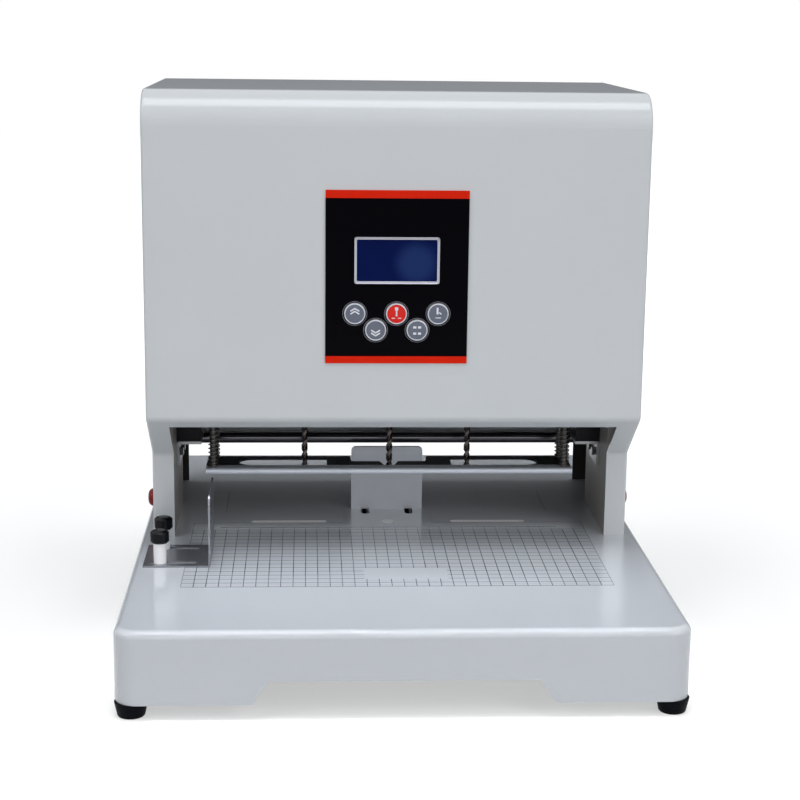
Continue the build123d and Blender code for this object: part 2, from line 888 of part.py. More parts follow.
def unit_drill(name, x):
    """Twist drill: flat facets wound round a core, with a pointed tip and a plain shank."""
    tip_z = press_bottom + gap
    shank_z = tip_z + drill_flute
    steps = round((drill_flute - drill_point) / drill_lead * 360 / drill_step)
    rings = [flute_ring(x, tip_z, 0, drill_tip)]
    for step in range(steps + 1):
        rise = drill_point + (drill_flute - drill_point) * step / steps
        rings.append(flute_ring(x, tip_z + rise, step * drill_step))
    facets = [Face(Wire.make_polygon(rings[0])), Face(Wire.make_polygon(rings[-1]))]
    for lower, upper in zip(rings, rings[1:]):
        for side in range(len(lower)):
            ahead = (side + 1) % len(lower)
            facets.append(Face(Wire.make_polygon([lower[side], lower[ahead], upper[ahead]])))
            facets.append(Face(Wire.make_polygon([lower[side], upper[ahead], upper[side]])))
    with BuildPart() as drill:
        add(Solid(Shell(facets)))
        with BuildSketch(Plane.XY.offset(shank_z)):
            with Locations((x, drill_line)):
                Circle(drill_diameter / 2)
        extrude(amount=chuck_z + drill_grip - shank_z)
    finish(drill, f"{name}_drill")


# Three spindle units: the side ones slide in the slots, the centre one is fixed
nose_bottom = carriage_z - nose_drop
chuck_z = nose_bottom - chuck_clear - chuck_length
for unit, unit_x in (("left", left_unit_x), ("centre", 0.0), ("right", right_unit_x)):
    unit_housing(unit, unit_x)
    unit_motor(unit, unit_x)
    unit_chuck(unit, unit_x)
    unit_drill(unit, unit_x)

# Lead screw with a journal for the bearing and the pulley
pulley_z = side_top + top_thick + pulley_gap
with BuildPart() as lead_screw:
    with BuildSketch(Plane.XY.offset(screw_bottom)):
        with Locations((0, screw_y)):
            Circle(screw_diameter / 2)
    extrude(amount=side_top - screw_shoulder_gap - screw_bottom)
    with BuildSketch(Plane.XY.offset(side_top - screw_shoulder_gap)):
        with Locations((0, screw_y)):
            Circle(screw_journal / 2)
    extrude(amount=pulley_z + pulley_height - side_top + screw_shoulder_gap)
finish(lead_screw, "lead_screw")

# Bearing of the lead screw, let into the top plate
with BuildPart() as screw_bearing:
    with BuildSketch(Plane.XY.offset(side_top)):
        with Locations((0, screw_y)):
            Circle(bearing_outer / 2)
            Circle(screw_journal / 2 + run_fit, mode=Mode.SUBTRACT)
    extrude(amount=top_thick)
finish(screw_bearing, "screw_bearing")


# Large pulley seated on the lead screw
with BuildPart() as screw_pulley:
    with BuildSketch(Plane.XY.offset(pulley_z)):
        with Locations((0, screw_y)):
            Circle(screw_pulley_diameter / 2)
            Circle(screw_journal / 2 + seat_fit, mode=Mode.SUBTRACT)
    extrude(amount=pulley_height)
finish(screw_pulley, "screw_pulley")

# Small pulley with the motor's shaft
with BuildPart() as motor_pulley:
    with BuildSketch(Plane.XY.offset(pulley_z)):
        with Locations((lift_motor_x, lift_motor_y)):
            Circle(motor_pulley_diameter / 2)
    extrude(amount=pulley_height)
    with BuildSketch(Plane.XY.offset(pulley_z)):
        with Locations((lift_motor_x, lift_motor_y)):
            Circle(lift_shaft_diameter / 2)
    extrude(amount=-(pulley_gap + top_thick + lift_shaft_depth))
finish(motor_pulley, "motor_pulley")

# Lift motor under the top plate, centred by its boss
with BuildPart() as lift_motor:
    with BuildSketch(Plane.XY.offset(side_top)):
        with Locations((lift_motor_x, lift_motor_y)):
            Circle(lift_motor_diameter / 2)
    extrude(amount=-lift_motor_length)
    chamfer(lift_motor.edges().group_by(Axis.Z)[0], motor_edge)
    with BuildSketch(Plane.XY.offset(side_top)):
        with Locations((lift_motor_x, lift_motor_y)):
            Circle(lift_motor_boss / 2)
    extrude(amount=top_thick)
    with BuildSketch(Plane.XY.offset(side_top + top_thick)):
        with Locations((lift_motor_x, lift_motor_y)):
            Circle(lift_shaft_diameter / 2 + run_fit)
    extrude(amount=-(top_thick + lift_shaft_depth + gap), mode=Mode.SUBTRACT)
finish(lift_motor, "lift_motor")


def belt_outline(growth):
    """Outline of the belt's run round both pulleys, grown from their barrels."""
    with BuildSketch(Plane.XY.offset(pulley_z + (pulley_height - belt_width) / 2)) as run:
        with Locations((0, screw_y)):
            Circle(screw_pulley_diameter / 2 + growth)
        with Locations((lift_motor_x, lift_motor_y)):
            Circle(motor_pulley_diameter / 2 + growth)
        make_hull()
    return run.sketch


# Drive belt round the pulleys
with BuildPart() as lift_belt:
    extrude(belt_outline(run_fit + belt_thick), amount=belt_width)
    extrude(belt_outline(run_fit), amount=belt_width, mode=Mode.SUBTRACT)
finish(lift_belt, "lift_belt")

# Control panel: a black overlay on the head with openings for the display and the rings
panel_face = Plane.XZ.offset(-head_front)
with BuildPart() as control_panel:
    with BuildSketch(panel_face):
        with Locations(panel_centre):
            Rectangle(panel_width, panel_top - panel_bottom)
        with Locations(display_centre):
            Rectangle(display_width + 2 * seat_fit, display_height + 2 * seat_fit, mode=Mode.SUBTRACT)
        with Locations(*key_places.values()):
            Circle(key_diameter / 2 + gap, mode=Mode.SUBTRACT)
    extrude(amount=panel_thick)
finish(control_panel, "control_panel")

# Display: a rim on the head's face and a body that reaches back to the board
with BuildPart() as display:
    with BuildSketch(panel_face):
        with Locations(display_centre):
            Rectangle(display_width, display_height)
    extrude(amount=panel_thick + display_proud)
    with BuildSketch(panel_face):
        with Locations(display_centre):
            Rectangle(
                display_width - 2 * display_rim - 2 * seat_fit,
                display_height - 2 * display_rim - 2 * seat_fit,
            )
    extrude(amount=-board_back)
    with BuildSketch(panel_face.offset(panel_thick + display_proud)):
        with Locations(display_centre):
            Rectangle(display_width - 2 * display_rim, display_height - 2 * display_rim)
    extrude(amount=-display_proud, mode=Mode.SUBTRACT)
finish(display, "display")

# Keys: a bevelled cap and a square stem that stops short of its switch
key_face = panel_face.offset(panel_thick + key_proud)
stem_end = board_back - switch_height - key_travel - gap
for key_name, key_place in key_places.items():
    with BuildPart() as key:
        with BuildSketch(key_face):
            with Locations(key_place):
                Circle(key_diameter / 2)
        extrude(amount=-key_depth)
        chamfer(key.edges().group_by(Axis.Y)[0], key_edge)
        with BuildSketch(panel_face.offset(-stem_end)):
            with Locations(key_place):
                Rectangle(key_stem, key_stem)
        extrude(amount=stem_end)
    finish(key, key_name)

# Control board with its switches, standing off the head's face
with BuildPart() as control_board:
    with BuildSketch(panel_face.offset(-board_back)):
        with Locations(panel_centre):
            Rectangle(panel_width, panel_top - panel_bottom)
    extrude(amount=-board_thick)
    with BuildSketch(panel_face.offset(-board_back)):
        with Locations(*key_places.values()):
            Rectangle(switch_size, switch_size)
    extrude(amount=switch_height)
    with BuildSketch(panel_face.offset(-board_back)):
        with Locations(panel_centre):
            with GridLocations(
                panel_width - 2 * standoff_inset, panel_top - panel_bottom - 2 * standoff_inset, 2, 2
            ):
                Rectangle(standoff_diameter, standoff_diameter)
    extrude(amount=board_back - sheet)
finish(control_board, "control_board")

# Start buttons in the sides of the columns, domed and free to travel in their cups
for side, sign in (("left", -1), ("right", 1)):
    with BuildPart() as button:
        with BuildSketch(Plane.YZ.offset(sign * (casing_width / 2 - button_depth))):
            with Locations((button_y, button_z)):
                Circle(button_diameter / 2)
        extrude(amount=sign * (button_depth + button_proud))
        dome = button.edges().sort_by(Axis.X)[-1 if sign > 0 else 0]
        chamfer(dome, button_dome, button_dome)
    finish(button, f"button_{side}")

# Switch cups of the start buttons, between the side plates and the casing
with BuildPart() as button_switches:
    for sign in (-1, 1):
        cup_inner = sign * (side_inner + side_thick)
        with BuildSketch(Plane.YZ.offset(cup_inner)):
            with Locations((button_y, button_z)):
                Circle(button_diameter / 2 + gap + button_cup_wall)
        extrude(amount=sign * (casing_width / 2 - sheet) - cup_inner)
        with BuildSketch(Plane.YZ.offset(cup_inner + sign * button_floor)):
            with Locations((button_y, button_z)):
                Circle(button_diameter / 2 + gap)
        extrude(amount=sign * (casing_width / 2), mode=Mode.SUBTRACT)
finish(button_switches, "button_switches")

# Mains inlet through the rear cover: a flange outside, a body inside, a socket and a switch opening
cover_face = Plane(origin=(0, head_back + sheet, 0), x_dir=(-1, 0, 0), z_dir=(0, 1, 0))
inlet_centre = (-inlet_x, inlet_z + inlet_height / 2)
socket_centre = (-inlet_x, inlet_z + inlet_height / 2 - socket_drop)
rocker_centre = (-inlet_x, inlet_z + inlet_height / 2 + rocker_rise)
rocker_y = head_back + sheet + inlet_flange - rocker_pivot
with BuildPart() as power_inlet:
    with BuildSketch(cover_face):
        with Locations(inlet_centre):
            Rectangle(inlet_width, inlet_height)
    extrude(amount=inlet_flange)
    with BuildSketch(cover_face):
        with Locations(inlet_centre):
            Rectangle(inlet_body_width - 2 * seat_fit, inlet_body_height - 2 * seat_fit)
    extrude(amount=-inlet_body_depth)
    with BuildSketch(cover_face.offset(inlet_flange)):
        with Locations(socket_centre):
            Rectangle(socket_width, socket_height)
    extrude(amount=-socket_depth, mode=Mode.SUBTRACT)
    with BuildSketch(cover_face.offset(inlet_flange)):
        with Locations(rocker_centre):
            Rectangle(rocker_width + 2 * gap, rocker_height + 6 * gap)
    extrude(amount=-rocker_pocket, mode=Mode.SUBTRACT)
    with BuildSketch(Plane.YZ.offset(inlet_x - rocker_width / 2 - rocker_pin_reach - 2 * gap)):
        with Locations((rocker_y, rocker_centre[1])):
            Circle(rocker_pin / 2 + run_fit)
    extrude(amount=rocker_width + 2 * rocker_pin_reach + 4 * gap, mode=Mode.SUBTRACT)
    with BuildSketch(cover_face.offset(inlet_flange - socket_depth)):
        with Locations(socket_centre):
            with GridLocations(pin_pitch, 0, 3, 1):
                Rectangle(pin_width, pin_height)
    extrude(amount=pin_length)
finish(power_inlet, "power_inlet")

# Rocker of the mains switch on its two pins, resting with its lower half pressed
slant = rocker_height / 2 * tan(radians(rocker_throw))
with BuildPart() as power_rocker:
    with BuildSketch(Plane.YZ.offset(inlet_x - rocker_width / 2)):
        with Locations((rocker_y, rocker_centre[1])):
            Polygon(
                (rocker_pivot, 0),
                (rocker_pivot + slant, rocker_height / 2),
                (-rocker_depth, rocker_height / 4),
                (-rocker_depth, -rocker_height / 4),
                (rocker_pivot + slant, -rocker_height / 2),
                rotation=-rocker_throw,
                align=None,
            )
    extrude(amount=rocker_width)
    with BuildSketch(Plane.YZ.offset(inlet_x - rocker_width / 2 - rocker_pin_reach)):
        with Locations((rocker_y, rocker_centre[1])):
            Circle(rocker_pin / 2)
    extrude(amount=rocker_width + 2 * rocker_pin_reach)
finish(power_rocker, "power_rocker")

# Power supply on the inside of the rear cover
with BuildPart() as power_supply:
    with BuildSketch(Plane.XZ.offset(-head_back)):
        with Locations((supply_x, supply_z + supply_height / 2)):
            Rectangle(supply_width, supply_height)
    extrude(amount=supply_depth)
    chamfer(power_supply.edges().group_by(Axis.Y)[0], supply_edge)
finish(power_supply, "power_supply")

# Side fence: a slotted foot on the table and an upright fin
with BuildPart() as side_fence:
    with BuildSketch(Plane.XZ.offset(-fence_front)):
        with BuildLine():
            Polyline(
                (fence_left, table_top),
                (fence_x, table_top),
                (fence_x, table_top + fence_height),
                (fence_x - fence_thick, table_top + fence_height),
                (fence_x - fence_thick, table_top + fence_thick),
                (fence_left, table_top + fence_thick),
                close=True,
            )
        folded = make_face()
        fillet(folded.vertices().sort_by_distance((fence_x, table_top))[0], fence_bend)
    extrude(amount=fence_front - fence_back)
    front_corner = side_fence.faces().sort_by(Axis.Z)[-1].edges().filter_by(Axis.X).sort_by(Axis.Y)[0]
    fillet(front_corner, fence_corner)
    with BuildSketch(Plane.XY.offset(table_top)):
        for y in (clamp_front_y, clamp_back_y):
            with Locations((fence_slot_end - fence_slot_length / 2, y)):
                SlotOverall(fence_slot_length, fence_slot_width)
    extrude(amount=fence_thick, mode=Mode.SUBTRACT)
finish(side_fence, "side_fence")

# Studs of the fence clamps, standing on the base plate
clamp_places = ((clamp_x, clamp_front_y), (clamp_x, clamp_back_y))
spacer_z = table_top + fence_thick
knob_z = spacer_z + spacer_height
with BuildPart() as fence_studs:
    with BuildSketch(Plane.XY.offset(base_z + base_thick)):
        with Locations(*clamp_places):
            Circle(stud_diameter / 2)
    extrude(amount=knob_z + knob_bite - base_z - base_thick)
finish(fence_studs, "fence_studs")

# White nylon spacers under the knobs
with BuildPart() as clamp_spacers:
    with BuildSketch(Plane.XY.offset(spacer_z)):
        with Locations(*clamp_places):
            Circle(spacer_diameter / 2)
            Circle(stud_diameter / 2 + seat_fit, mode=Mode.SUBTRACT)
    extrude(amount=spacer_height)
finish(clamp_spacers, "clamp_spacers")

# Grooved clamp knobs
for side, y in (("front", clamp_front_y), ("rear", clamp_back_y)):
    with BuildPart() as knob:
        with BuildSketch(Plane.XY.offset(knob_z)):
            with Locations((clamp_x, y)):
                Circle(knob_diameter / 2)
        extrude(amount=knob_height)
        chamfer(knob.edges().group_by(Axis.Z)[-1], knob_edge)
        with BuildSketch(Plane.XY.offset(knob_z)):
            with Locations((clamp_x, y)):
                with PolarLocations(knob_diameter / 2, knob_grooves):
                    Rectangle(2 * knob_groove_depth, 2 * knob_groove_depth, rotation=45)
        extrude(amount=knob_height, mode=Mode.SUBTRACT)
        with BuildSketch(Plane.XY.offset(knob_z)):
            with Locations((clamp_x, y)):
                Circle(stud_diameter / 2 + run_fit)
        extrude(amount=knob_bite + gap, mode=Mode.SUBTRACT)
    finish(knob, f"clamp_knob_{side}")

# Back gauge: an upright plate with a foot folded to the rear
gauge_screw_places = ((-gauge_slot_x, gauge_screw_y), (gauge_slot_x, gauge_screw_y))
with BuildPart() as back_gauge:
    with BuildSketch(Plane.XZ.offset(-gauge_y)):
        with Locations((0, table_top + gauge_height / 2)):
            Rectangle(gauge_width, gauge_height)
    extrude(amount=-gauge_thick)
    fillet(back_gauge.faces().sort_by(Axis.Z)[-1].edges().filter_by(Axis.Y), gauge_corner)
    with BuildSketch(Plane.XY.offset(table_top)):
        with Locations((0, gauge_y + (gauge_thick + gauge_foot) / 2)):
            Rectangle(gauge_width, gauge_thick + gauge_foot)
        with Locations(*gauge_screw_places):
            Circle(gauge_screw_shank / 2 + seat_fit, mode=Mode.SUBTRACT)
    extrude(amount=gauge_thick)
finish(back_gauge, "back_gauge")

# Clamp screws of the back gauge, with nuts under the base plate
with BuildPart() as gauge_screws:
    with BuildSketch(Plane.XY.offset(table_top + gauge_thick)):
        with Locations(*gauge_screw_places):
            RegularPolygon(gauge_screw_head / 2, 6)
    extrude(amount=gauge_screw_height)
    with BuildSketch(Plane.XY.offset(table_top + gauge_thick)):
        with Locations(*gauge_screw_places):
            Circle(gauge_screw_shank / 2)
    extrude(amount=-(gauge_thick + table_wall + base_thick + gauge_nut_height))
    with BuildSketch(Plane.XY.offset(base_z)):
        with Locations(*gauge_screw_places):
            RegularPolygon(gauge_screw_head / 2, 6)
    extrude(amount=-gauge_nut_height)
finish(gauge_screws, "gauge_screws")


def add_screws(plane, places):
    """Add hexagon screw heads to the open part, rising along the plane's normal."""
    with BuildSketch(plane) as heads:
        with Locations(*places):
            RegularPolygon(screw_head / 2, 6)
    extrude(heads.sketch, amount=screw_head_height)


# Screw heads of the brackets, clamp blocks, cross bar, top plate, base plate and rear cover
with BuildPart() as frame_screws:
    for sign in (-1, 1):
        bracket_face = Plane(
            origin=(sign * (side_inner - bracket_thick), 0, 0), x_dir=(0, -sign, 0), z_dir=(-sign, 0, 0)
        )
        add_screws(bracket_face, [(-sign * y, z) for y, z in bracket_bolts])
        outer_face = Plane(
            origin=(sign * (side_inner + side_thick), 0, 0), x_dir=(0, sign, 0), z_dir=(sign, 0, 0)
        )
        add_screws(outer_face, [(sign * bar_y, bar_z)])
    lug_face = Plane(origin=(0, 0, bracket_top - bracket_thick), x_dir=(1, 0, 0), z_dir=(0, 0, -1))
    add_screws(lug_face, [(-column_reach, -column_y), (column_reach, -column_y)])
    add_screws(Plane.XY.offset(side_top + top_thick), plate_screws)
    base_face = Plane(origin=(0, 0, base_z), x_dir=(1, 0, 0), z_dir=(0, 0, -1))
    add_screws(base_face, [(x, -y) for x, y in plate_screws])
    add_screws(cover_face, [(-x, z) for x, z in cover_places])
finish(frame_screws, "frame_screws")
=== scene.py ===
"""Looks of a desk paper drill with three spindles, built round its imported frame.

Lengths in the dataclasses are millimetres in the frame's own axes: +Z is up, -Y is the
operator's side and +X is the operator's right. Meshes are in metres.
"""

import logging
import math
from collections.abc import Iterator
from contextlib import contextmanager
from dataclasses import dataclass
from enum import Enum

import bpy
from mathutils import Matrix, Vector


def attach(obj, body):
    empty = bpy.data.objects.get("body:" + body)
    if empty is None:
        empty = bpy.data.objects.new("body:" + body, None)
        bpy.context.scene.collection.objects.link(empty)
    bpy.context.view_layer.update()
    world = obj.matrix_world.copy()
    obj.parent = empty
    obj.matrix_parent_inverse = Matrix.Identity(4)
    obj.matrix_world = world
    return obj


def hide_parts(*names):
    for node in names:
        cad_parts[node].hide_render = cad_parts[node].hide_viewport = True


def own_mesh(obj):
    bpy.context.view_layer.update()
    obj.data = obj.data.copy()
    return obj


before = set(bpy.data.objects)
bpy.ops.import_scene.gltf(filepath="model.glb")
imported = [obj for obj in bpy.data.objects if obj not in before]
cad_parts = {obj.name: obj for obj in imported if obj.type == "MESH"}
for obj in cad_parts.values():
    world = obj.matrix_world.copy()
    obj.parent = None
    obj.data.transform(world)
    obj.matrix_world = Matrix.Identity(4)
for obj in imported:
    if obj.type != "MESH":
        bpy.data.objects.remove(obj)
log = logging.getLogger("paper_drill")

Piece = bpy.types.Object
Node = bpy.types.Node
Socket = bpy.types.NodeSocket
Tree = bpy.types.NodeTree

MM = 0.001
IOR = 1.5
COAT_ROUGHNESS = 0.06
LEAST_ROUGHNESS = 0.02
PAINT_PEEL_MM = 1.6
FAR_MM = 1000.0


# ---------------------------------------------------------------- nodes and finishes


def linear(colour: str) -> tuple[float, float, float, float]:
    """Turn an sRGB hex colour into linear light.

    Args:
        colour: The colour as "#RRGGBB".

    Returns:
        Red, green, blue and an alpha of 1.
    """
    parts = [int(colour[i : i + 2], 16) / 255 for i in (1, 3, 5)]
    red, green, blue = (c / 12.92 if c <= 0.04045 else ((c + 0.055) / 1.055) ** 2.4 for c in parts)
    return (red, green, blue, 1.0)


def add_node(tree: Tree, kind: str, inputs: dict | tuple = (), **settings: object) -> Node:
    """Add a node with its settings and links.

    Args:
        tree: The node tree that gets the node.
        kind: The node's type, without its "ShaderNode" prefix.
        inputs: Values, sockets or nodes for its inputs, in their order or by name or index.
            A node stands for its first output.
        **settings: Attributes of the node itself.

    Returns:
        The new node.
    """
    node = tree.nodes.new("ShaderNode" + kind)
    for name, value in settings.items():
        setattr(node, name, value)
    for key, value in inputs.items() if isinstance(inputs, dict) else enumerate(inputs):
        source = value.outputs[0] if isinstance(value, Node) else value
        if isinstance(source, Socket):
            tree.links.new(source, node.inputs[key])
        else:
            node.inputs[key].default_value = source
    return node


def within(tree: Tree, *limits: tuple[Node, float, float]) -> Node:
    """One where every coordinate lies between its two limits, nought elsewhere.

    Args:
        tree: The material's node tree.
        *limits: Coordinates, each with its lower and upper limit.

    Returns:
        The mask.
    """
    mask = None
    for value, low, high in limits:
        above = add_node(tree, "Math", (value, low), operation="GREATER_THAN")
        below = add_node(tree, "Math", (value, high), operation="LESS_THAN")
        inside = add_node(tree, "Math", (above, below), operation="MULTIPLY")
        if mask is not None:
            inside = add_node(tree, "Math", (mask, inside), operation="MULTIPLY")
        mask = inside
    return mask


class Lay(Enum):
    """Direction of the fine lines that a tool leaves on a metal, as a noise stretch per axis."""

    ACROSS = (0.04, 1.0, 1.0)
    DEPTH = (1.0, 0.04, 1.0)
    UPRIGHT = (1.0, 1.0, 0.04)
    NONE = (1.0, 1.0, 1.0)


@dataclass(frozen=True)
class Finish:
    """A surface with grain: colour drift, uneven gloss, a fine relief and maybe a second colour."""

    name: str
    colour: str
    roughness: float
    metallic: float = 0.0
    drift: float = 0.04
    drift_mm: float = 60.0
    grain_mm: float = 0.5
    relief_mm: float = 0.002
    gloss_drift: float = 0.05
    lay: Lay = Lay.NONE
    coat: float = 0.0
    specular: float = 0.5
    second: str = "#000000"

    def build(self) -> bpy.types.Material:
        """Make the material, or find it where it exists.

        Returns:
            The material.
        """
        known = bpy.data.materials.get(self.name)
        if known:
            return known
        material = bpy.data.materials.new(self.name)
        material.use_nodes = True
        tree = material.node_tree
        shader = tree.nodes["Principled BSDF"]
        shader.inputs["Metallic"].default_value = self.metallic
        shader.inputs["IOR"].default_value = IOR
        shader.inputs["Specular IOR Level"].default_value = self.specular
        shader.inputs["Coat Weight"].default_value = self.coat
        shader.inputs["Coat Roughness"].default_value = COAT_ROUGHNESS
        place = add_node(tree, "TexCoord").outputs["Object"]
        tree.links.new(self.paint(tree, place), shader.inputs["Base Color"])
        grain = self.noise(tree, place, self.grain_mm, self.lay)
        low, high = self.roughness - self.gloss_drift / 2, self.roughness + self.gloss_drift / 2
        limits = {"To Min": max(low, LEAST_ROUGHNESS), "To Max": high}
        gloss = add_node(tree, "MapRange", {"Value": grain, **limits})
        tree.links.new(gloss.outputs[0], shader.inputs["Roughness"])
        relief = {"Height": grain, "Distance": self.relief_mm * MM, "Strength": 1.0}
        bump = add_node(tree, "Bump", relief)
        tree.links.new(bump.outputs[0], shader.inputs["Normal"])
        return material

    def noise(self, tree: Tree, place: Socket, size_mm: float, lay: Lay) -> Socket:
        """Noise of a given feature size, stretched along the lay.

        Args:
            tree: The material's node tree.
            place: Object coordinates, in metres.
            size_mm: Size of one feature.
            lay: Direction of the stretch.

        Returns:
            The noise's value.
        """
        stretch = add_node(tree, "Mapping", {"Vector": place, "Scale": lay.value})
        grain = {"Vector": stretch, "Scale": 1 / (size_mm * MM), "Detail": 3.0}
        return add_node(tree, "TexNoise", grain).outputs[0]

    def axes(self, tree: Tree, place: Socket) -> list[Node]:
        """Split Object coordinates into X, Y and Z in millimetres."""
        axes = add_node(tree, "SeparateXYZ", (place,)).outputs
        return [add_node(tree, "Math", (axis, 1 / MM), operation="MULTIPLY") for axis in axes]

    def mask(self, tree: Tree, place: Socket) -> Node | None:
        """Where the second colour lies. A plain finish has none."""
        return None

    def paint(self, tree: Tree, place: Socket) -> Socket:
        """Base colour with a slow drift in brightness, and the second colour over it.

        Args:
            tree: The material's node tree.
            place: Object coordinates, in metres.

        Returns:
            The colour.
        """
        slow = self.noise(tree, place, self.drift_mm, Lay.NONE)
        base = Vector(linear(self.colour)[:3])
        dark, light = base * (1 - self.drift), base * (1 + self.drift)
        ends = {"Factor": slow, 6: (*dark, 1.0), 7: (*light, 1.0)}
        colour = add_node(tree, "Mix", ends, data_type="RGBA").outputs[2]
        mask = self.mask(tree, place)
        if mask is None:
            return colour
        both = {"Factor": mask, 6: colour, 7: linear(self.second)}
        return add_node(tree, "Mix", both, data_type="RGBA").outputs[2]


@dataclass(frozen=True)
class Stripe:
    """A printed stripe, alike on both sides of the table's middle, plain or made of ticks."""

    inner: float
    outer: float
    front: float
    back: float
    ink: float
    tick_axis: int = 0
    tick_pitch: float = 0.0
    tick_phase: float = 0.0


@dataclass(frozen=True)
class PrintedPaint(Finish):
    """The table's paint with its printed measuring grid, ruler line and marks."""

    second: str = "#454D56"
    half_width: float = 165.0
    front: float = -165.0
    back: float = -5.0
    top: float = 69.9
    pitch: float = 10.0
    line: float = 0.6
    upright_ink: float = 0.9
    row_ink: float = 0.72
    half_row_ink: float = 0.34
    blank_x: tuple[float, float] = (-27.0, 42.0)
    blank_y: tuple[float, float] = (-146.0, -117.0)
    stripes: tuple[Stripe, ...] = (
        # Ruler line behind the grid, and its ticks.
        Stripe(-1.0, 151.0, 1.7, 3.3, 0.85),
        Stripe(-1.0, 148.0, -2.5, 2.1, 0.6, tick_pitch=10.0, tick_phase=5.0),
        # Sides and rear of the frame round the grid.
        Stripe(174.7, 175.3, -165.0, 17.3, 0.62),
        Stripe(38.0, 175.0, 16.4, 17.6, 0.5),
        # Scale beside each gauge slot.
        Stripe(37.0, 41.0, 23.0, 56.0, 0.6, tick_axis=1, tick_pitch=6.0),
        # Corner lines behind the drills.
        Stripe(147.7, 148.3, 55.0, 122.0, 0.5),
        Stripe(118.0, 166.0, 121.6, 122.2, 0.5),
    )

    def ticks(self, tree: Tree, value: Node, pitch: float, width: float, phase: float) -> Node:
        """Lines that repeat at a pitch.

        Args:
            tree: The material's node tree.
            value: The coordinate in millimetres.
            pitch: Distance between two lines.
            width: Width of a line.
            phase: Place of one line.

        Returns:
            The mask.
        """
        shifted = add_node(tree, "Math", (value, phase), operation="SUBTRACT")
        away = add_node(tree, "Math", (shifted, pitch / 2), operation="PINGPONG")
        return add_node(tree, "Math", (away, width / 2), operation="LESS_THAN")

    def mask(self, tree: Tree, place: Socket) -> Node | None:
        """The print on the table's upper face.

        Args:
            tree: The material's node tree.
            place: Object coordinates, in metres.

        Returns:
            The ink's strength.
        """
        x, y, z = self.axes(tree, place)
        wide = add_node(tree, "Math", (x,), operation="ABSOLUTE")
        pitch, line, front, back = self.pitch, self.line, self.front, self.back
        blank = within(tree, (x, *self.blank_x), (y, *self.blank_y))
        column_area = within(tree, (wide, -1.0, self.half_width + line / 2), (y, front, back))
        row_area = within(tree, (wide, -1.0, self.half_width + pitch), (y, front - line, back))
        printed = []
        for area, axis, width, phase, ink in (
            (column_area, x, line, self.half_width, self.upright_ink),
            (row_area, y, 2 * line, front, self.row_ink),
            (row_area, y, line, front + pitch / 2, self.half_row_ink),
        ):
            area = add_node(tree, "Math", (area, blank), operation="SUBTRACT")
            lines = self.ticks(tree, axis, pitch, width, phase)
            printed.append((add_node(tree, "Math", (area, lines), operation="MULTIPLY"), ink))
        for stripe in self.stripes:
            across, along = (stripe.inner, stripe.outer), (stripe.front, stripe.back)
            area = within(tree, (wide, *across), (y, *along))
            if stripe.tick_pitch:
                axis = (x, y)[stripe.tick_axis]
                lines = self.ticks(tree, axis, stripe.tick_pitch, line, stripe.tick_phase)
                area = add_node(tree, "Math", (area, lines), operation="MULTIPLY")
            printed.append((area, stripe.ink))
        total: Node | float = 0.0
        for area, ink in printed:
            inked = add_node(tree, "Math", (area, ink), operation="MULTIPLY")
            total = add_node(tree, "Math", (total, inked), operation="MAXIMUM")
        top = add_node(tree, "Math", (z, self.top), operation="GREATER_THAN")
        return add_node(tree, "Math", (total, top), operation="MULTIPLY")


@dataclass(frozen=True)
class Box:
    """A box in the frame's axes, open to each side where no limits are given."""

    x: tuple[float, float] = (-FAR_MM, FAR_MM)
    y: tuple[float, float] = (-FAR_MM, FAR_MM)
    z: tuple[float, float] = (-FAR_MM, FAR_MM)


@dataclass(frozen=True)
class BoxedFinish(Finish):
    """A finish with its second colour inside some boxes."""

    boxes: tuple[Box, ...] = ()

    def mask(self, tree: Tree, place: Socket) -> Node | None:
        """The inside of the boxes.

        Args:
            tree: The material's node tree.
            place: Object coordinates, in metres.

        Returns:
            The mask.
        """
        x, y, z = self.axes(tree, place)
        total: Node | float = 0.0
        for box in self.boxes:
            inside = within(tree, (x, *box.x), (y, *box.y), (z, *box.z))
            total = add_node(tree, "Math", (total, inside), operation="MAXIMUM")
        return total


@dataclass(frozen=True)
class GlassWithPaintedLight(Finish):
    """Display glass with a paler, round-edged patch of painted light towards one side."""

    second: str = "#1C2F60"
    patch_x: float = 16.0
    patch_z: float = 320.0
    patch_inner: float = 8.0
    patch_outer: float = 22.0

    def mask(self, tree: Tree, place: Socket) -> Node | None:
        """The painted patch of light, with a soft edge.

        Args:
            tree: The material's node tree.
            place: Object coordinates, in metres.

        Returns:
            The mask.
        """
        centre = (-self.patch_x * MM, 0.0, -self.patch_z * MM)
        flat = add_node(tree, "VectorMath", (place, (1.0, 0.0, 1.0)), operation="MULTIPLY")
        moved = add_node(tree, "VectorMath", (flat, centre), operation="ADD")
        away = add_node(tree, "VectorMath", (moved,), operation="LENGTH").outputs["Value"]
        limits = {"From Min": self.patch_outer * MM, "From Max": self.patch_inner * MM}
        return add_node(
            tree, "MapRange", {"Value": away, **limits}, interpolation_type="SMOOTHSTEP"
        )


# Powder-coated sheet steel: pale, smooth, with a faint orange peel.
HEAD_PAINT = Finish(
    "powder_coat_head", "#C3C7CA", 0.18, drift=0.015, grain_mm=PAINT_PEEL_MM, relief_mm=0.004
)
# The same coat on the casing, with its inner faces painted dark: painted shade for the unlit
# inside.
CASING_PAINT = BoxedFinish(
    "powder_coat_casing_shaded_inside", "#C3C7CA", 0.18,
    drift=0.015, grain_mm=PAINT_PEEL_MM, relief_mm=0.004, second="#34312F",
    boxes=(
        # Painted shade inside the columns, then inside the head.
        Box(x=(-207.2, 207.2), y=(-24.3, 168.35), z=(-FAR_MM, 186.0)),
        Box(x=(-207.2, 207.2), y=(-79.2, 168.35), z=(190.0, 399.0)),
    ),
)
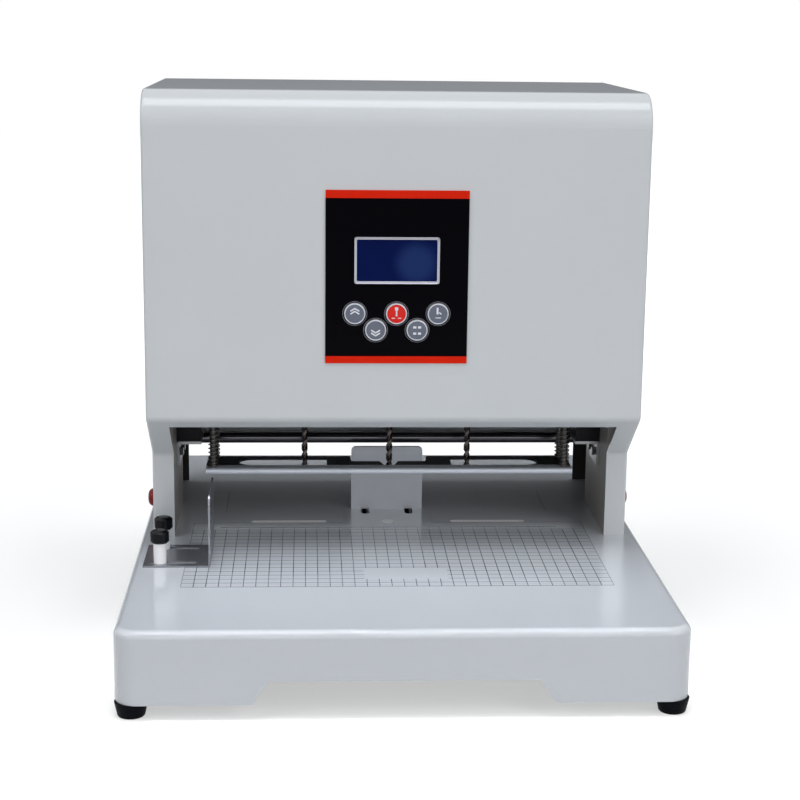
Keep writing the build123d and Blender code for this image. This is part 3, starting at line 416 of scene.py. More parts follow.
# The table's coat is glossier, and mirrors what stands on it at a low angle.
TABLE_PAINT = PrintedPaint(
    "printed_powder_coat_table", "#C0C5CB", 0.14,
    drift=0.012, grain_mm=PAINT_PEEL_MM, relief_mm=0.003, gloss_drift=0.03, coat=0.7,
)
# Ground mild steel: grey-brown with fine upright grinding lines.
GROUND_STEEL = Finish(
    "ground_mild_steel", "#8B8784", 0.5, 0.1,
    drift=0.1, drift_mm=18.0, grain_mm=0.9, relief_mm=0.008, lay=Lay.UPRIGHT,
)
# Machined plate: lines run across the part.
MILLED_STEEL = Finish(
    "milled_steel_plate", "#7B7C80", 0.36, 1.0, grain_mm=0.8, relief_mm=0.006, lay=Lay.ACROSS
)
# Galvanised gauge plate: an even light grey, half matt.
ZINC_SHEET = Finish(
    "zinc_coated_sheet", "#BABEC5", 0.42, 0.55,
    drift=0.05, drift_mm=14.0, grain_mm=0.7, relief_mm=0.004, lay=Lay.ACROSS,
)
# Polished stainless: dark where it mirrors the head above it.
MIRROR_STAINLESS = Finish(
    "polished_stainless_steel", "#96989F", 0.24, 0.8, grain_mm=0.6, gloss_drift=0.04, lay=Lay.DEPTH
)
# Hard-chromed round bar.
CHROME_BAR = Finish("hard_chrome_on_steel", "#B9B9BC", 0.1, 1.0, gloss_drift=0.04)
# Polished steel bar across the throat, darkened far below real steel as painted shade for the dark
# throat it mirrors.
BAR_IN_PAINTED_SHADE = Finish("steel_bar_darkened_as_shade", "#6C6B70", 0.2, 1.0, gloss_drift=0.04)
# Oiled, blackened press rods.
OILED_ROD = Finish(
    "oiled_dark_steel", "#4A4846", 0.3, 0.9, drift=0.1, drift_mm=6.0, relief_mm=0.003
)
# Bright zinc plate with a slight spangle.
ZINC = Finish(
    "bright_zinc_plate", "#98989A", 0.3, 1.0,
    drift=0.12, drift_mm=5.0, grain_mm=1.2, relief_mm=0.006, gloss_drift=0.12,
)
# Drawn aluminium, brushed along its length and half matt, so that it stays bright from every side.
DRAWN_ALUMINIUM = Finish(
    "drawn_aluminium", "#E4EAF5", 0.38, 0.2,
    drift=0.06, drift_mm=9.0, grain_mm=0.6, relief_mm=0.006, lay=Lay.ACROSS,
)
# Black oxide: a thin dark film on steel, satin.
BLACK_OXIDE = Finish(
    "black_oxide_steel", "#0C0B10", 0.3, drift=0.15, grain_mm=0.8, relief_mm=0.006, specular=0.12
)
# Oiled spring wire.
SPRING_WIRE = Finish(
    "oiled_spring_steel", "#7A7572", 0.28, 0.8, drift=0.1, drift_mm=4.0, relief_mm=0.003
)
# High-speed steel: dark brown-grey, polished in the flutes.
DRILL_STEEL = Finish(
    "high_speed_steel", "#57504E", 0.2, 1.0, drift=0.25, drift_mm=3.0, grain_mm=0.4, relief_mm=0.003
)
# Stove enamel on the motors.
BLACK_ENAMEL = Finish("black_stove_enamel", "#121315", 0.32, grain_mm=1.2, relief_mm=0.01)
# Turned bronze.
BRONZE = Finish("turned_bronze", "#A98A55", 0.3, 1.0, drift=0.08, grain_mm=0.4, relief_mm=0.003)
# Moulded rubber: matt and slightly blue-black.
RUBBER = Finish(
    "moulded_rubber", "#05070D", 0.5,
    drift=0.1, drift_mm=8.0, grain_mm=0.7, relief_mm=0.02, specular=0.06,
)
# Turned nylon: milky white.
NYLON = Finish(
    "turned_nylon", "#F4F4F6", 0.36, drift=0.02, drift_mm=10.0, grain_mm=0.8, relief_mm=0.004
)
# Moulded ABS of the clamp knobs and the mains inlet.
BLACK_ABS = Finish(
    "moulded_black_abs", "#07080D", 0.26, drift=0.1, drift_mm=8.0, relief_mm=0.006, specular=0.2
)
# Polycarbonate panel film printed from behind: glossy and deep, with a red band low and high.
PANEL_FILM = BoxedFinish(
    "printed_polycarbonate_film", "#060509", 0.1,
    drift=0.06, grain_mm=3.0, gloss_drift=0.03, specular=0.02, second="#D2240F",
    boxes=(Box(z=(-FAR_MM, 242.4)), Box(z=(373.5, FAR_MM))),
)
# The same film without its bands, round the display.
PLAIN_FILM = Finish(
    "black_polycarbonate", "#060509", 0.1, drift=0.06, grain_mm=3.0, gloss_drift=0.03, specular=0.02
)
# Liquid crystal glass behind the film: navy and uneven, with a paler patch of painted light.
SCREEN_GLASS = GlassWithPaintedLight(
    "liquid_crystal_glass", "#061446", 0.1,
    drift=0.2, drift_mm=26.0, grain_mm=4.0, relief_mm=0.001, gloss_drift=0.02, specular=0.03,
)
# Silver-grey print of the display's frame.
SILVER_PRINT = Finish("silver_screen_print", "#C9CAD3", 0.34, drift_mm=8.0)
# Vacuum-metallised ring round a key.
SATIN_RING = Finish(
    "satin_chromed_abs", "#DCDEE6", 0.3, 0.3, drift=0.05, drift_mm=4.0, grain_mm=0.4
)
# Thin printed line round a key, half lost in the film.
GREY_PRINT = Finish("grey_screen_print", "#8C8E95", 0.3, drift_mm=4.0, grain_mm=0.4)
# Grey and red key caps under clear lacquer.
GREY_CAP = Finish("lacquered_grey_abs", "#5C6271", 0.26, drift=0.05, drift_mm=6.0, relief_mm=0.003)
RED_CAP = Finish(
    "lacquered_red_abs", "#D11A0C", 0.26, drift=0.05, drift_mm=6.0, relief_mm=0.003, specular=0.25
)
# White print on the key caps.
WHITE_PRINT = Finish("white_screen_print", "#D9DBE2", 0.4, drift=0.02, drift_mm=4.0, grain_mm=0.4)
# Gloss red ABS of the start buttons.
RED_ABS = Finish(
    "moulded_red_abs", "#7E0910", 0.14,
    drift=0.05, drift_mm=8.0, grain_mm=0.8, gloss_drift=0.02, specular=0.25,
)
# Solder-masked circuit board.
BOARD = Finish(
    "solder_masked_board", "#0F4A2A", 0.3, drift=0.15, drift_mm=6.0, grain_mm=0.6, relief_mm=0.01
)
# Folded galvanised case of the power supply.
GALVANISED = Finish(
    "galvanised_sheet", "#A3A6A8", 0.32, 0.9, drift=0.1, drift_mm=9.0, grain_mm=1.5, relief_mm=0.006
)


# ---------------------------------------------------------------- hand modelling steps


def clear_bench() -> None:
    """Leave edit mode and deselect every object."""
    if bpy.context.mode != "OBJECT":
        bpy.ops.object.mode_set(mode="OBJECT")
    bpy.ops.object.select_all(action="DESELECT")


def take(piece: Piece) -> None:
    """Make one object the only selected and the active one.

    Args:
        piece: The mesh object.
    """
    clear_bench()
    piece.select_set(True)
    bpy.context.view_layer.objects.active = piece


def apply_modifier(piece: Piece, kind: str, **settings: object) -> None:
    """Add a modifier, set it and apply it.

    Args:
        piece: The mesh object.
        kind: The modifier's type.
        **settings: Attributes of the modifier.
    """
    take(piece)
    modifier = piece.modifiers.new(kind.lower(), kind)
    for name, value in settings.items():
        setattr(modifier, name, value)
    bpy.ops.object.modifier_apply(modifier=modifier.name)


@contextmanager
def edit_mode() -> Iterator[None]:
    """Edit the active piece's mesh.

    Returns:
        A context that goes back to object mode at its end.
    """
    bpy.ops.object.mode_set(mode="EDIT")
    yield
    bpy.ops.object.mode_set(mode="OBJECT")


def close_up(piece: Piece) -> None:
    """Merge doubles and point all faces outwards.

    Args:
        piece: The mesh object.
    """
    take(piece)
    with edit_mode():
        bpy.ops.mesh.select_all(action="SELECT")
        bpy.ops.mesh.remove_doubles(threshold=1e-6)
        bpy.ops.mesh.normals_make_consistent(inside=False)


def settle(piece: Piece, matrix: Matrix | None = None) -> None:
    """Write a piece's place into its mesh, with its object at the origin.

    Args:
        piece: The mesh object.
        matrix: A further move, in metres.
    """
    take(piece)
    if matrix is not None:
        piece.matrix_world = matrix @ piece.matrix_world
    bpy.ops.object.transform_apply(location=True, rotation=True, scale=True)


def turned(stations: list[tuple[float, float]], segments: int = 64) -> Piece:
    """Turn a closed solid about the Z axis, from a disc extruded and scaled step by step.

    Args:
        stations: Height and radius of each step, in millimetres.
        segments: Sides of the disc.

    Returns:
        The piece, on the Z axis.
    """
    clear_bench()
    height, radius = stations[0]
    bpy.ops.mesh.primitive_circle_add(
        vertices=segments, radius=radius * MM, fill_type="NGON", location=(0, 0, height * MM)
    )
    piece = bpy.context.active_object
    with edit_mode():
        bpy.ops.mesh.select_all(action="SELECT")
        for new_height, new_radius in stations[1:]:
            rise, share = (new_height - height) * MM, new_radius / radius
            bpy.ops.mesh.extrude_region_move(TRANSFORM_OT_translate={"value": (0, 0, rise)})
            centre = (0, 0, new_height * MM)
            bpy.ops.transform.resize(value=(share, share, 1), center_override=centre)
            height, radius = new_height, new_radius
    settle(piece)
    close_up(piece)
    return piece


def block(
    size: tuple[float, float, float], centre: tuple[float, float, float], edge: float
) -> Piece:
    """Make a block with rounded edges.

    Args:
        size: Width, depth and height in millimetres.
        centre: Place of its middle in millimetres.
        edge: Radius of its edges.

    Returns:
        The piece.
    """
    clear_bench()
    bpy.ops.mesh.primitive_cube_add(size=1, location=[c * MM for c in centre])
    piece = bpy.context.active_object
    piece.scale = [s * MM for s in size]
    settle(piece)
    sharp = math.radians(30)
    apply_modifier(
        piece, "BEVEL", width=edge * MM, segments=2, limit_method="ANGLE", angle_limit=sharp
    )
    return piece


def copy_of(piece: Piece, move: Matrix) -> Piece:
    """Copy a piece with a mesh of its own, and move it.

    Args:
        piece: The mesh object.
        move: The move, in metres.

    Returns:
        The copy.
    """
    other = piece.copy()
    other.data = piece.data.copy()
    bpy.context.scene.collection.objects.link(other)
    other.data.transform(move)
    return other


def join(pieces: list[Piece]) -> Piece:
    """Join pieces into the first one.

    Args:
        pieces: The mesh objects.

    Returns:
        The first one, with all of them in it.
    """
    clear_bench()
    for piece in pieces:
        piece.select_set(True)
    bpy.context.view_layer.objects.active = pieces[0]
    bpy.ops.object.join()
    return pieces[0]


def dress(piece: Piece, finish: Finish) -> None:
    """Give a piece or a CAD node one finish.

    Args:
        piece: The mesh object.
        finish: Its finish.
    """
    material = finish.build()
    piece.data.materials.clear()
    piece.data.materials.append(material)


def place_piece(
    piece: Piece,
    name: str,
    finish: Finish,
    body: str,
    replaced: tuple[str, ...] = (),
    smooth: float = 35.0,
) -> None:
    """Name, smooth and dress a finished piece, and set it on its body.

    Args:
        piece: The mesh object.
        name: Its name in the scene.
        finish: Its finish.
        body: The CAD body that it rides on.
        replaced: CAD nodes that it stands for.
        smooth: Angle in degrees under which edges shade smooth.
    """
    take(piece)
    bpy.ops.object.shade_smooth_by_angle(angle=math.radians(smooth))
    piece.name = name
    piece.data.name = name
    dress(piece, finish)
    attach(piece, body)
    if replaced:
        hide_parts(*replaced)
    log.info("%s rides on %s", name, body)


def dress_nodes(**finishes: Finish) -> None:
    """Give CAD nodes their finishes by name.

    Args:
        **finishes: The finish of each node.
    """
    for node, finish in finishes.items():
        dress(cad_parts[node], finish)
        log.info("node %s is %s", node, finish.name)


def shift(x: float, y: float, z: float) -> Matrix:
    """A move in millimetres."""
    return Matrix.Translation(Vector((x, y, z)) * MM)


# ---------------------------------------------------------------- sub-assemblies


@dataclass
class Table:
    """Printed table tray with its base plate, drill pads and rubber feet."""

    foot_x: float = 206.4
    foot_y: float = 258.4
    foot_height: float = 12.0
    foot_top: float = 12.8
    foot_tip: float = 10.5

    def build(self) -> None:
        """Dress the tray and turn the four feet, each with a dished sole and rounded rims."""
        dress_nodes(base_table=TABLE_PAINT, base_plate=MILLED_STEEL, drill_pads=NYLON)
        top, tip, height = self.foot_top, self.foot_tip, self.foot_height
        sole = [(0.5, tip - 4.0), (0.0, tip - 3.2), (0.0, tip - 1.6)]
        lower_rim = [(0.4, tip - 0.6), (1.2, tip + 0.1)]
        upper_rim = [(height - 0.9, top - 0.1), (height - 0.3, top), (height, top - 0.4)]
        foot = turned(sole + lower_rim + upper_rim)
        corners = [(x, y) for x in (-self.foot_x, self.foot_x) for y in (-self.foot_y, self.foot_y)]
        feet = [copy_of(foot, shift(x, y, 0)) for x, y in corners]
        bpy.data.objects.remove(foot)
        place_piece(join(feet), "rubber_feet", RUBBER, "frame", ("feet",))


@dataclass
class Housing:
    """Painted casing and rear cover, with the screws that hold them."""

    def build(self) -> None:
        """Dress the folded skins."""
        dress_nodes(casing=CASING_PAINT, rear_cover=HEAD_PAINT, frame_screws=ZINC)


@dataclass
class InnerFrame:
    """Steel plates, guide columns, brackets and the bar across the throat."""

    def build(self) -> None:
        """Dress the frame's nodes."""
        dress_nodes(
            side_plate_left=GROUND_STEEL, side_plate_right=GROUND_STEEL, top_plate=MILLED_STEEL,
            column_brackets=ZINC, column_feet=BLACK_OXIDE, guide_columns=CHROME_BAR,
            cross_bar=BAR_IN_PAINTED_SHADE,
        )


@dataclass
class LiftDrive:
    """Motor, belt and lead screw that move the carriage."""

    def build(self) -> None:
        """Dress the drive's nodes."""
        dress_nodes(
            lift_motor=BLACK_ENAMEL, screw_bearing=BRONZE, lift_belt=RUBBER,
            lead_screw=CHROME_BAR, screw_pulley=DRAWN_ALUMINIUM, motor_pulley=DRAWN_ALUMINIUM,
        )


@dataclass(frozen=True)
class Stroke:
    """One raised bar of a key's mark: its size, its place on the cap and its turn in degrees."""

    width: float
    height: float
    x: float
    z: float
    turn: float = 0.0


class Mark(Enum):
    """Symbol on a key, as its strokes."""

    UP = tuple(Stroke(4.6, 1.15, s * 1.75, z, s * 32) for z in (1.0, 3.4) for s in (-1, 1))
    DOWN = tuple(Stroke(4.6, 1.15, s * 1.75, -z, -s * 32) for z in (1.0, 3.4) for s in (-1, 1))
    DRILL = (
        Stroke(2.6, 2.6, 0, 4.2), Stroke(1.2, 4.2, 0, 1.2), Stroke(1.3, 1.3, 0, -1.2, 45),
        Stroke(2.6, 0.7, -2.6, -3.6), Stroke(2.6, 0.7, 2.6, -3.6),
    )
    STEP = (Stroke(1.5, 5.6, -0.6, 2.6), Stroke(2.4, 1.0, 1.7, 0.6, 35), Stroke(4.6, 0.7, 0, -3.2))
    BARS = tuple(Stroke(2.6, 1.8, x, z) for z in (2.6, -2.6) for x in (-2.0, 2.0))


@dataclass
class ControlPanel:
    """Panel film, display and five keys on the head's face."""

    face_y: float = -80.0
    film: float = 1.2
    display_width: float = 70.2
    display_height: float = 38.4
    display_z: float = 322.5
    window_depth: float = 8.0
    window_edge: float = 0.1
    frame_line: float = 1.1
    frame_corner: float = 1.9
    frame_rise: float = 0.5
    frame_hollow: float = 0.4
    glass_rise: float = 0.2
    glass_depth: float = 0.4
    key_radius: float = 8.8
    cap_radius: float = 7.75
    halo_radius: float = 10.0
    halo_line: float = 0.32
    halo_flat: float = 0.6
    key_front: float = -82.8
    key_depth: float = 4.4
    mark_sunk: float = 0.14
    mark_depth: float = 0.12
    mark_edge: float = 0.03
    upper_z: float = 278.2
    lower_z: float = 264.4
    upper_x: float = 34.5
    lower_x: float = 17.2

    def build(self) -> None:
        """Dress the film and board, and model the display and the keys."""
        dress_nodes(control_panel=PANEL_FILM, control_board=BOARD, button_switches=BLACK_ABS)
        self.display()
        keys = (
            ("key_up", "up_key", -self.upper_x, self.upper_z, Mark.UP),
            ("key_drill", "drill_key", 0.0, self.upper_z, Mark.DRILL),
            ("key_set", "set_key", self.upper_x, self.upper_z, Mark.STEP),
            ("key_down", "down_key", -self.lower_x, self.lower_z, Mark.DOWN),
            ("key_mode", "mode_key", self.lower_x, self.lower_z, Mark.BARS),
        )
        for node, body, x, z, mark in keys:
            self.key(node, body, x, z, mark)

    def display(self) -> None:
        """Model the dark window, its light frame line and the glass."""
        width, height, front = self.display_width, self.display_height, self.face_y - self.film
        depth = self.window_depth
        middle = (0, front + depth / 2, self.display_z)
        base = block((width, depth, height), middle, self.window_edge)
        place_piece(base, "display_window", PLAIN_FILM, "frame", ("display",))
        line = self.rounded_plate(width, height, front - self.frame_rise, self.frame_rise)
        self.hollow(line, self.frame_line, self.frame_hollow)
        place_piece(line, "display_frame", SILVER_PRINT, "frame")
        width, height = width - 2 * self.frame_line, height - 2 * self.frame_line
        glass = self.rounded_plate(width, height, front - self.glass_rise, self.glass_depth)
        place_piece(glass, "display_glass", SCREEN_GLASS, "frame")

    def rounded_plate(self, width: float, height: float, front: float, depth: float) -> Piece:
        """A thin upright plate with rounded corners.

        Args:
            width: Width in millimetres.
            height: Height in millimetres.
            front: Y of its front face.
            depth: Thickness.

        Returns:
            The piece.
        """
        clear_bench()
        middle = (0, (front + depth / 2) * MM, self.display_z * MM)
        bpy.ops.mesh.primitive_cube_add(size=1, location=middle)
        piece = bpy.context.active_object
        piece.scale = (width * MM, depth * MM, height * MM)
        settle(piece)
        with edit_mode():
            bpy.ops.mesh.select_all(action="DESELECT")
        for edge in piece.data.edges:
            ends = [piece.data.vertices[v].co for v in edge.vertices]
            edge.select = abs(ends[0].y - ends[1].y) > depth * MM / 2
        with edit_mode():
            bpy.ops.mesh.select_mode(type="EDGE")
            bpy.ops.mesh.bevel(offset=self.frame_corner * MM, segments=6, affect="EDGES")
            bpy.ops.mesh.select_mode(type="FACE")
        return piece

    def hollow(self, piece: Piece, line: float, depth: float) -> None:
        """Sink the middle of a plate's front face, leaving a line round it.

        Args:
            piece: The plate.
            line: Width of the line in millimetres.
            depth: How far the middle sinks.
        """
        take(piece)
        for face in piece.data.polygons:
            face.select = face.normal.y < -0.9
        with edit_mode():
            bpy.ops.mesh.inset(thickness=line * MM)
            bpy.ops.mesh.extrude_region_move(TRANSFORM_OT_translate={"value": (0, depth * MM, 0)})

    def key(self, node: str, body: str, x: float, z: float, mark: Mark) -> None:
        """Model a key: a thin halo on the film, a satin ring, a domed cap and its mark.

        Args:
            node: The CAD node of the key.
            body: The body that moves with it.
            x: Its place across.
            z: Its height.
            mark: The symbol on it.
        """
        upright = shift(x, self.key_front, z) @ Matrix.Rotation(math.radians(90), 4, "X")
        clear_bench()
        bpy.ops.mesh.primitive_torus_add(
            major_radius=self.halo_radius * MM, minor_radius=self.halo_line / 2 * MM,
            major_segments=72, minor_segments=8,
        )
        halo = bpy.context.active_object
        halo.scale.z = self.halo_flat
        flat = shift(x, self.face_y - self.film, z) @ Matrix.Rotation(math.radians(90), 4, "X")
        settle(halo, flat)
        place_piece(halo, f"{node}_halo", GREY_PRINT, "frame")
        outer, inner = self.key_radius, self.cap_radius
        ring = turned(
            [(-self.key_depth, outer), (-0.9, outer), (-0.2, outer - 0.35), (0.0, outer - 0.8),
             (-0.15, inner + 0.1), (-0.5, inner)]
        )
        settle(ring, upright)
        place_piece(ring, f"{node}_ring", SATIN_RING, body, (node,))
        cap = turned(
            [(-0.9, inner), (-0.45, inner - 0.05), (-0.3, inner - 0.7), (-0.2, inner * 0.6),
             (-0.17, 0.4)]
        )
        settle(cap, upright)
        finish, slot = (RED_CAP, "red") if mark is Mark.DRILL else (GREY_CAP, "key_grey")
        place_piece(cap, f"{node}_cap", finish, body)
        symbol = self.symbol(mark)
        symbol.data.transform(shift(x, self.key_front + self.mark_sunk, z))
        place_piece(symbol, f"{node}_mark", WHITE_PRINT, body)

    def symbol(self, mark: Mark) -> Piece:
        """Model a key's raised mark about the origin, facing -Y.

        Args:
            mark: Which symbol.

        Returns:
            The piece.
        """
        parts = []
        for stroke in mark.value:
            size = (stroke.width, self.mark_depth, stroke.height)
            part = block(size, (0, 0, 0), self.mark_edge)
            turn = Matrix.Rotation(math.radians(stroke.turn), 4, "Y")
            part.data.transform(shift(stroke.x, 0, stroke.z) @ turn)
            parts.append(part)
        return join(parts)


@dataclass
class StartButtons:
    """Two red start buttons in the sides of the columns."""

    y: float = 13.0
    z: float = 95.5
    inner: float = 203.4
    outer: float = 215.5
    radius: float = 8.0
    dome: float = 5.2
    dome_steps: int = 8
    dome_step: float = 10.5
    dome_fullness: float = 0.6

    def build(self) -> None:
        """Turn the domed buttons and set them in both sides."""
        straight = self.outer - self.inner - self.dome
        stations = [(0.0, self.radius), (straight, self.radius)]
        for step in range(1, self.dome_steps + 1):
            angle = math.radians(step * self.dome_step)
            radius = self.radius * math.cos(angle) ** self.dome_fullness
            stations.append((straight + self.dome * math.sin(angle), radius))
        for side, sign in (("left", -1), ("right", 1)):
            button = turned(stations)
            turn = Matrix.Rotation(math.radians(90 * sign), 4, "Y")
            settle(button, shift(sign * self.inner, self.y, self.z) @ turn)
            name, body, node = f"start_button_{side}", f"{side}_button", f"button_{side}"
            place_piece(button, name, RED_ABS, body, (node,), smooth=50)


@dataclass
class PowerEntry:
    """Mains inlet with its rocker, and the power supply."""

    def build(self) -> None:
        """Dress the inlet, rocker and supply."""
        dress_nodes(power_inlet=BLACK_ABS, power_rocker=RED_ABS, power_supply=GALVANISED)


@dataclass
class Carriage:
    """Lifting plate with its bushes and nut, and three drilling units."""

    units: tuple[tuple[str, float], ...] = (("left", -76.0), ("centre", 0.0), ("right", 70.0))
    y: float = 21.0
    flute: float = 44.0
    point: float = 1.7
    point_share: float = 0.12
    lead: float = 18.0
    radius: float = 2.75
    core: float = 1.0
    land: float = 40.0
    flute_fullness: float = 0.8
    section_points: int = 40
    wound_steps: int = 90
    tip_z: float = 119.7
    shank_top: float = 182.6
    shank_play: float = 0.02
    shank_sides: int = 32

    def build(self) -> None:
        """Dress the carriage's nodes and wind the three drills."""
        dress_nodes(carriage_plate=MILLED_STEEL, carriage_bushes=BRONZE, screw_nut=BRONZE)
        unit_finishes = {"housing": MILLED_STEEL, "motor": BLACK_ENAMEL, "chuck": CHROME_BAR}
        for unit, x in self.units:
            dress_nodes(**{f"{unit}_{node}": finish for node, finish in unit_finishes.items()})
            drill = self.drill()
            drill.data.transform(shift(x, self.y, 0))
            name, body, node = f"{unit}_twist_drill", f"{unit}_spindle", f"{unit}_drill"
            place_piece(drill, name, DRILL_STEEL, body, (node,), smooth=40)

    def drill(self) -> Piece:
        """Model a twist drill on the Z axis: a fluted section wound up, a point and a shank.

        Returns:
            The piece.
        """
        clear_bench()
        base = self.tip_z + self.point
        bpy.ops.mesh.primitive_circle_add(
            vertices=self.section_points, radius=self.radius * MM, fill_type="NOTHING",
            location=(0, 0, base * MM),
        )
        section = bpy.context.active_object
        settle(section)
        for vertex in section.data.vertices:
            angle = math.degrees(math.atan2(vertex.co.y, vertex.co.x))
            away = abs((angle + 90) % 180 - 90)
            if away > self.land:
                across = (away - self.land) / (90 - self.land)
                depth = math.sin(math.radians(across * 90)) ** self.flute_fullness
                share = 1 - (1 - self.core / self.radius) * depth
                vertex.co.x *= share
                vertex.co.y *= share
        length = self.flute - self.point
        apply_modifier(
            section, "SCREW", axis="Z", angle=2 * math.pi * length / self.lead,
            screw_offset=length * MM, iterations=1, steps=self.wound_steps,
            render_steps=self.wound_steps, use_smooth_shade=True,
        )
        with edit_mode():
            bpy.ops.mesh.select_all(action="SELECT")
            bpy.ops.mesh.fill_holes(sides=0)
            bpy.ops.mesh.normals_make_consistent(inside=False)
            bpy.ops.mesh.select_all(action="DESELECT")
        for face in section.data.polygons:
            face.select = len(face.vertices) > 10 and face.center.z < (base + 1) * MM
        narrow, drop = (self.point_share, self.point_share, 1), (0, 0, -self.point * MM)
        with edit_mode():
            bpy.ops.mesh.select_mode(type="FACE")
            bpy.ops.mesh.extrude_region_move(TRANSFORM_OT_translate={"value": drop})
            bpy.ops.transform.resize(value=narrow, center_override=(0, 0, self.tip_z * MM))
        low, high, radius = self.tip_z + self.flute, self.shank_top, self.radius - self.shank_play
        neck = (low - 0.4, self.radius * 0.8)
        shank = turned([neck, (low, radius), (high, radius)], self.shank_sides)
        return join([section, shank])


@dataclass
class Press:
    """Sprung press beam: bar, plates, rods and four wound springs."""

    bottom: float = 124.6
    length: float = 60.0
    wire: float = 1.15
    outer: float = 9.0
    turns: int = 18
    steps: int = 30
    section: int = 10
    closed_turns: float = 1.25
    closed_pitch: float = 1.03
    unevenness: float = -0.075
    travel: float = 39.5
    rod_x: float = 157.0
    rod_y: tuple[float, float] = (9.0, 41.0)

    def build(self) -> None:
        """Dress the beam's nodes and wind the springs."""
        dress_nodes(press_bar=DRAWN_ALUMINIUM, press_plates=BLACK_OXIDE, press_rods=OILED_ROD)
        spring = self.spring()
        places = [(x, y) for x in (-self.rod_x, self.rod_x) for y in self.rod_y]
        springs = join([copy_of(spring, shift(x, y, self.bottom)) for x, y in places])
        bpy.data.objects.remove(spring)
        place_piece(
            springs, "wound_springs", SPRING_WIRE, "carriage", ("press_springs",),
            smooth=60,
        )
        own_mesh(springs)

    def height(self, turn: float) -> float:
        """Height of the wire's middle after a number of turns, with closed ends.

        Args:
            turn: Turns from the lower end.

        Returns:
            The height in millimetres.
        """
        closed, total = self.closed_turns, self.turns
        shut = self.wire * self.closed_pitch
        span = self.length - self.wire - 2 * closed * shut
        rest = total - 2 * closed
        if turn < closed:
            return self.wire / 2 + turn * shut
        if turn > total - closed:
            return self.length - self.wire / 2 - (total - turn) * shut
        share = (turn - closed) / rest
        eased = share + self.unevenness * math.sin(2 * math.pi * share) / (2 * math.pi)
        return self.wire / 2 + closed * shut + span * eased

    def spring(self) -> Piece:
        """Wind one spring on the Z axis, standing on height nought.

        Returns:
            The piece.
        """
        clear_bench()
        pitch = self.length / self.turns
        bpy.ops.mesh.primitive_circle_add(
            vertices=self.section, radius=self.wire / 2 * MM, fill_type="NOTHING",
            location=((self.outer - self.wire) / 2 * MM, 0, 0), rotation=(math.radians(90), 0, 0),
        )
        wire = bpy.context.active_object
        settle(wire)
        apply_modifier(
            wire, "SCREW", axis="Z", angle=2 * math.pi, screw_offset=pitch * MM,
            iterations=self.turns, steps=self.steps, render_steps=self.steps,
            use_smooth_shade=True,
        )
        for index, vertex in enumerate(wire.data.vertices):
            turn = (index // self.section) / self.steps
            vertex.co.z += (self.height(turn) - turn * pitch) * MM
        with edit_mode():
            bpy.ops.mesh.select_all(action="SELECT")
            bpy.ops.mesh.fill_holes(sides=0)
            bpy.ops.mesh.normals_make_consistent(inside=False)
        return wire


@dataclass
class SideFence:
    """Polished fence with its studs, spacers and two clamp knobs."""

    x: float = -196.0
    front_y: float = -104.0
    rear_y: float = -64.0
    knob_z: float = 89.0
    knob_height: float = 10.8
    knob_radius: float = 7.8
    ridges: int = 30
    ridge_height: float = 0.2
    ridge_slope: float = 0.05

    def build(self) -> None:
        """Dress the fence and model both knobs."""
        dress_nodes(side_fence=MIRROR_STAINLESS, fence_studs=ZINC, clamp_spacers=NYLON)
        for side, y in (("front", self.front_y), ("rear", self.rear_y)):
            knob = self.knob()
            knob.data.transform(shift(self.x, y, self.knob_z))
            name, body, node = f"grip_knob_{side}", f"{side}_knob", f"clamp_knob_{side}"
            place_piece(knob, name, BLACK_ABS, body, (node,))

    def knob(self) -> Piece:
        """Model a knob on the Z axis: a ridged barrel, chamfered, with a dished top.

        Returns:
            The piece.
        """
        radius, height = self.knob_radius, self.knob_height
        barrel = radius - 0.25
        foot = [(0.0, radius - 1.6), (0.0, radius - 1.3), (1.3, barrel)]
        crown = [(height - 2.0, barrel), (height - 0.7, radius - 1.6), (height - 0.2, radius - 3.2)]
        sides = 4 * self.ridges
        knob = turned(foot + crown + [(height, radius - 5.2)], sides)
        take(knob)
        for face in knob.data.polygons:
            angle = math.degrees(math.atan2(face.center.y, face.center.x)) % 360
            upright = abs(face.normal.z) < 0.2 and face.area > 0
            face.select = upright and int(angle // (360 / sides)) % 4 in (0, 1)
        with edit_mode():
            bpy.ops.mesh.select_mode(type="FACE")
            bpy.ops.mesh.inset(thickness=self.ridge_slope * MM, use_even_offset=True)
            bpy.ops.transform.shrink_fatten(value=self.ridge_height * MM)
        return knob


@dataclass
class BackGauge:
    """Back gauge plate and its clamp screws."""

    def build(self) -> None:
        """Dress the gauge's nodes."""
        dress_nodes(back_gauge=ZINC_SHEET, gauge_screws=BLACK_OXIDE)


@dataclass(frozen=True)
class Softbox:
    """One studio lamp, in metres and watts, with the spread of its beam in degrees."""

    name: str
    place: tuple[float, float, float]
    aim: tuple[float, float, float]
    width: float
    height: float
    power: float
    spread: float = 180.0
    mirrored: bool = True
    tint: str = "#FFFFFF"


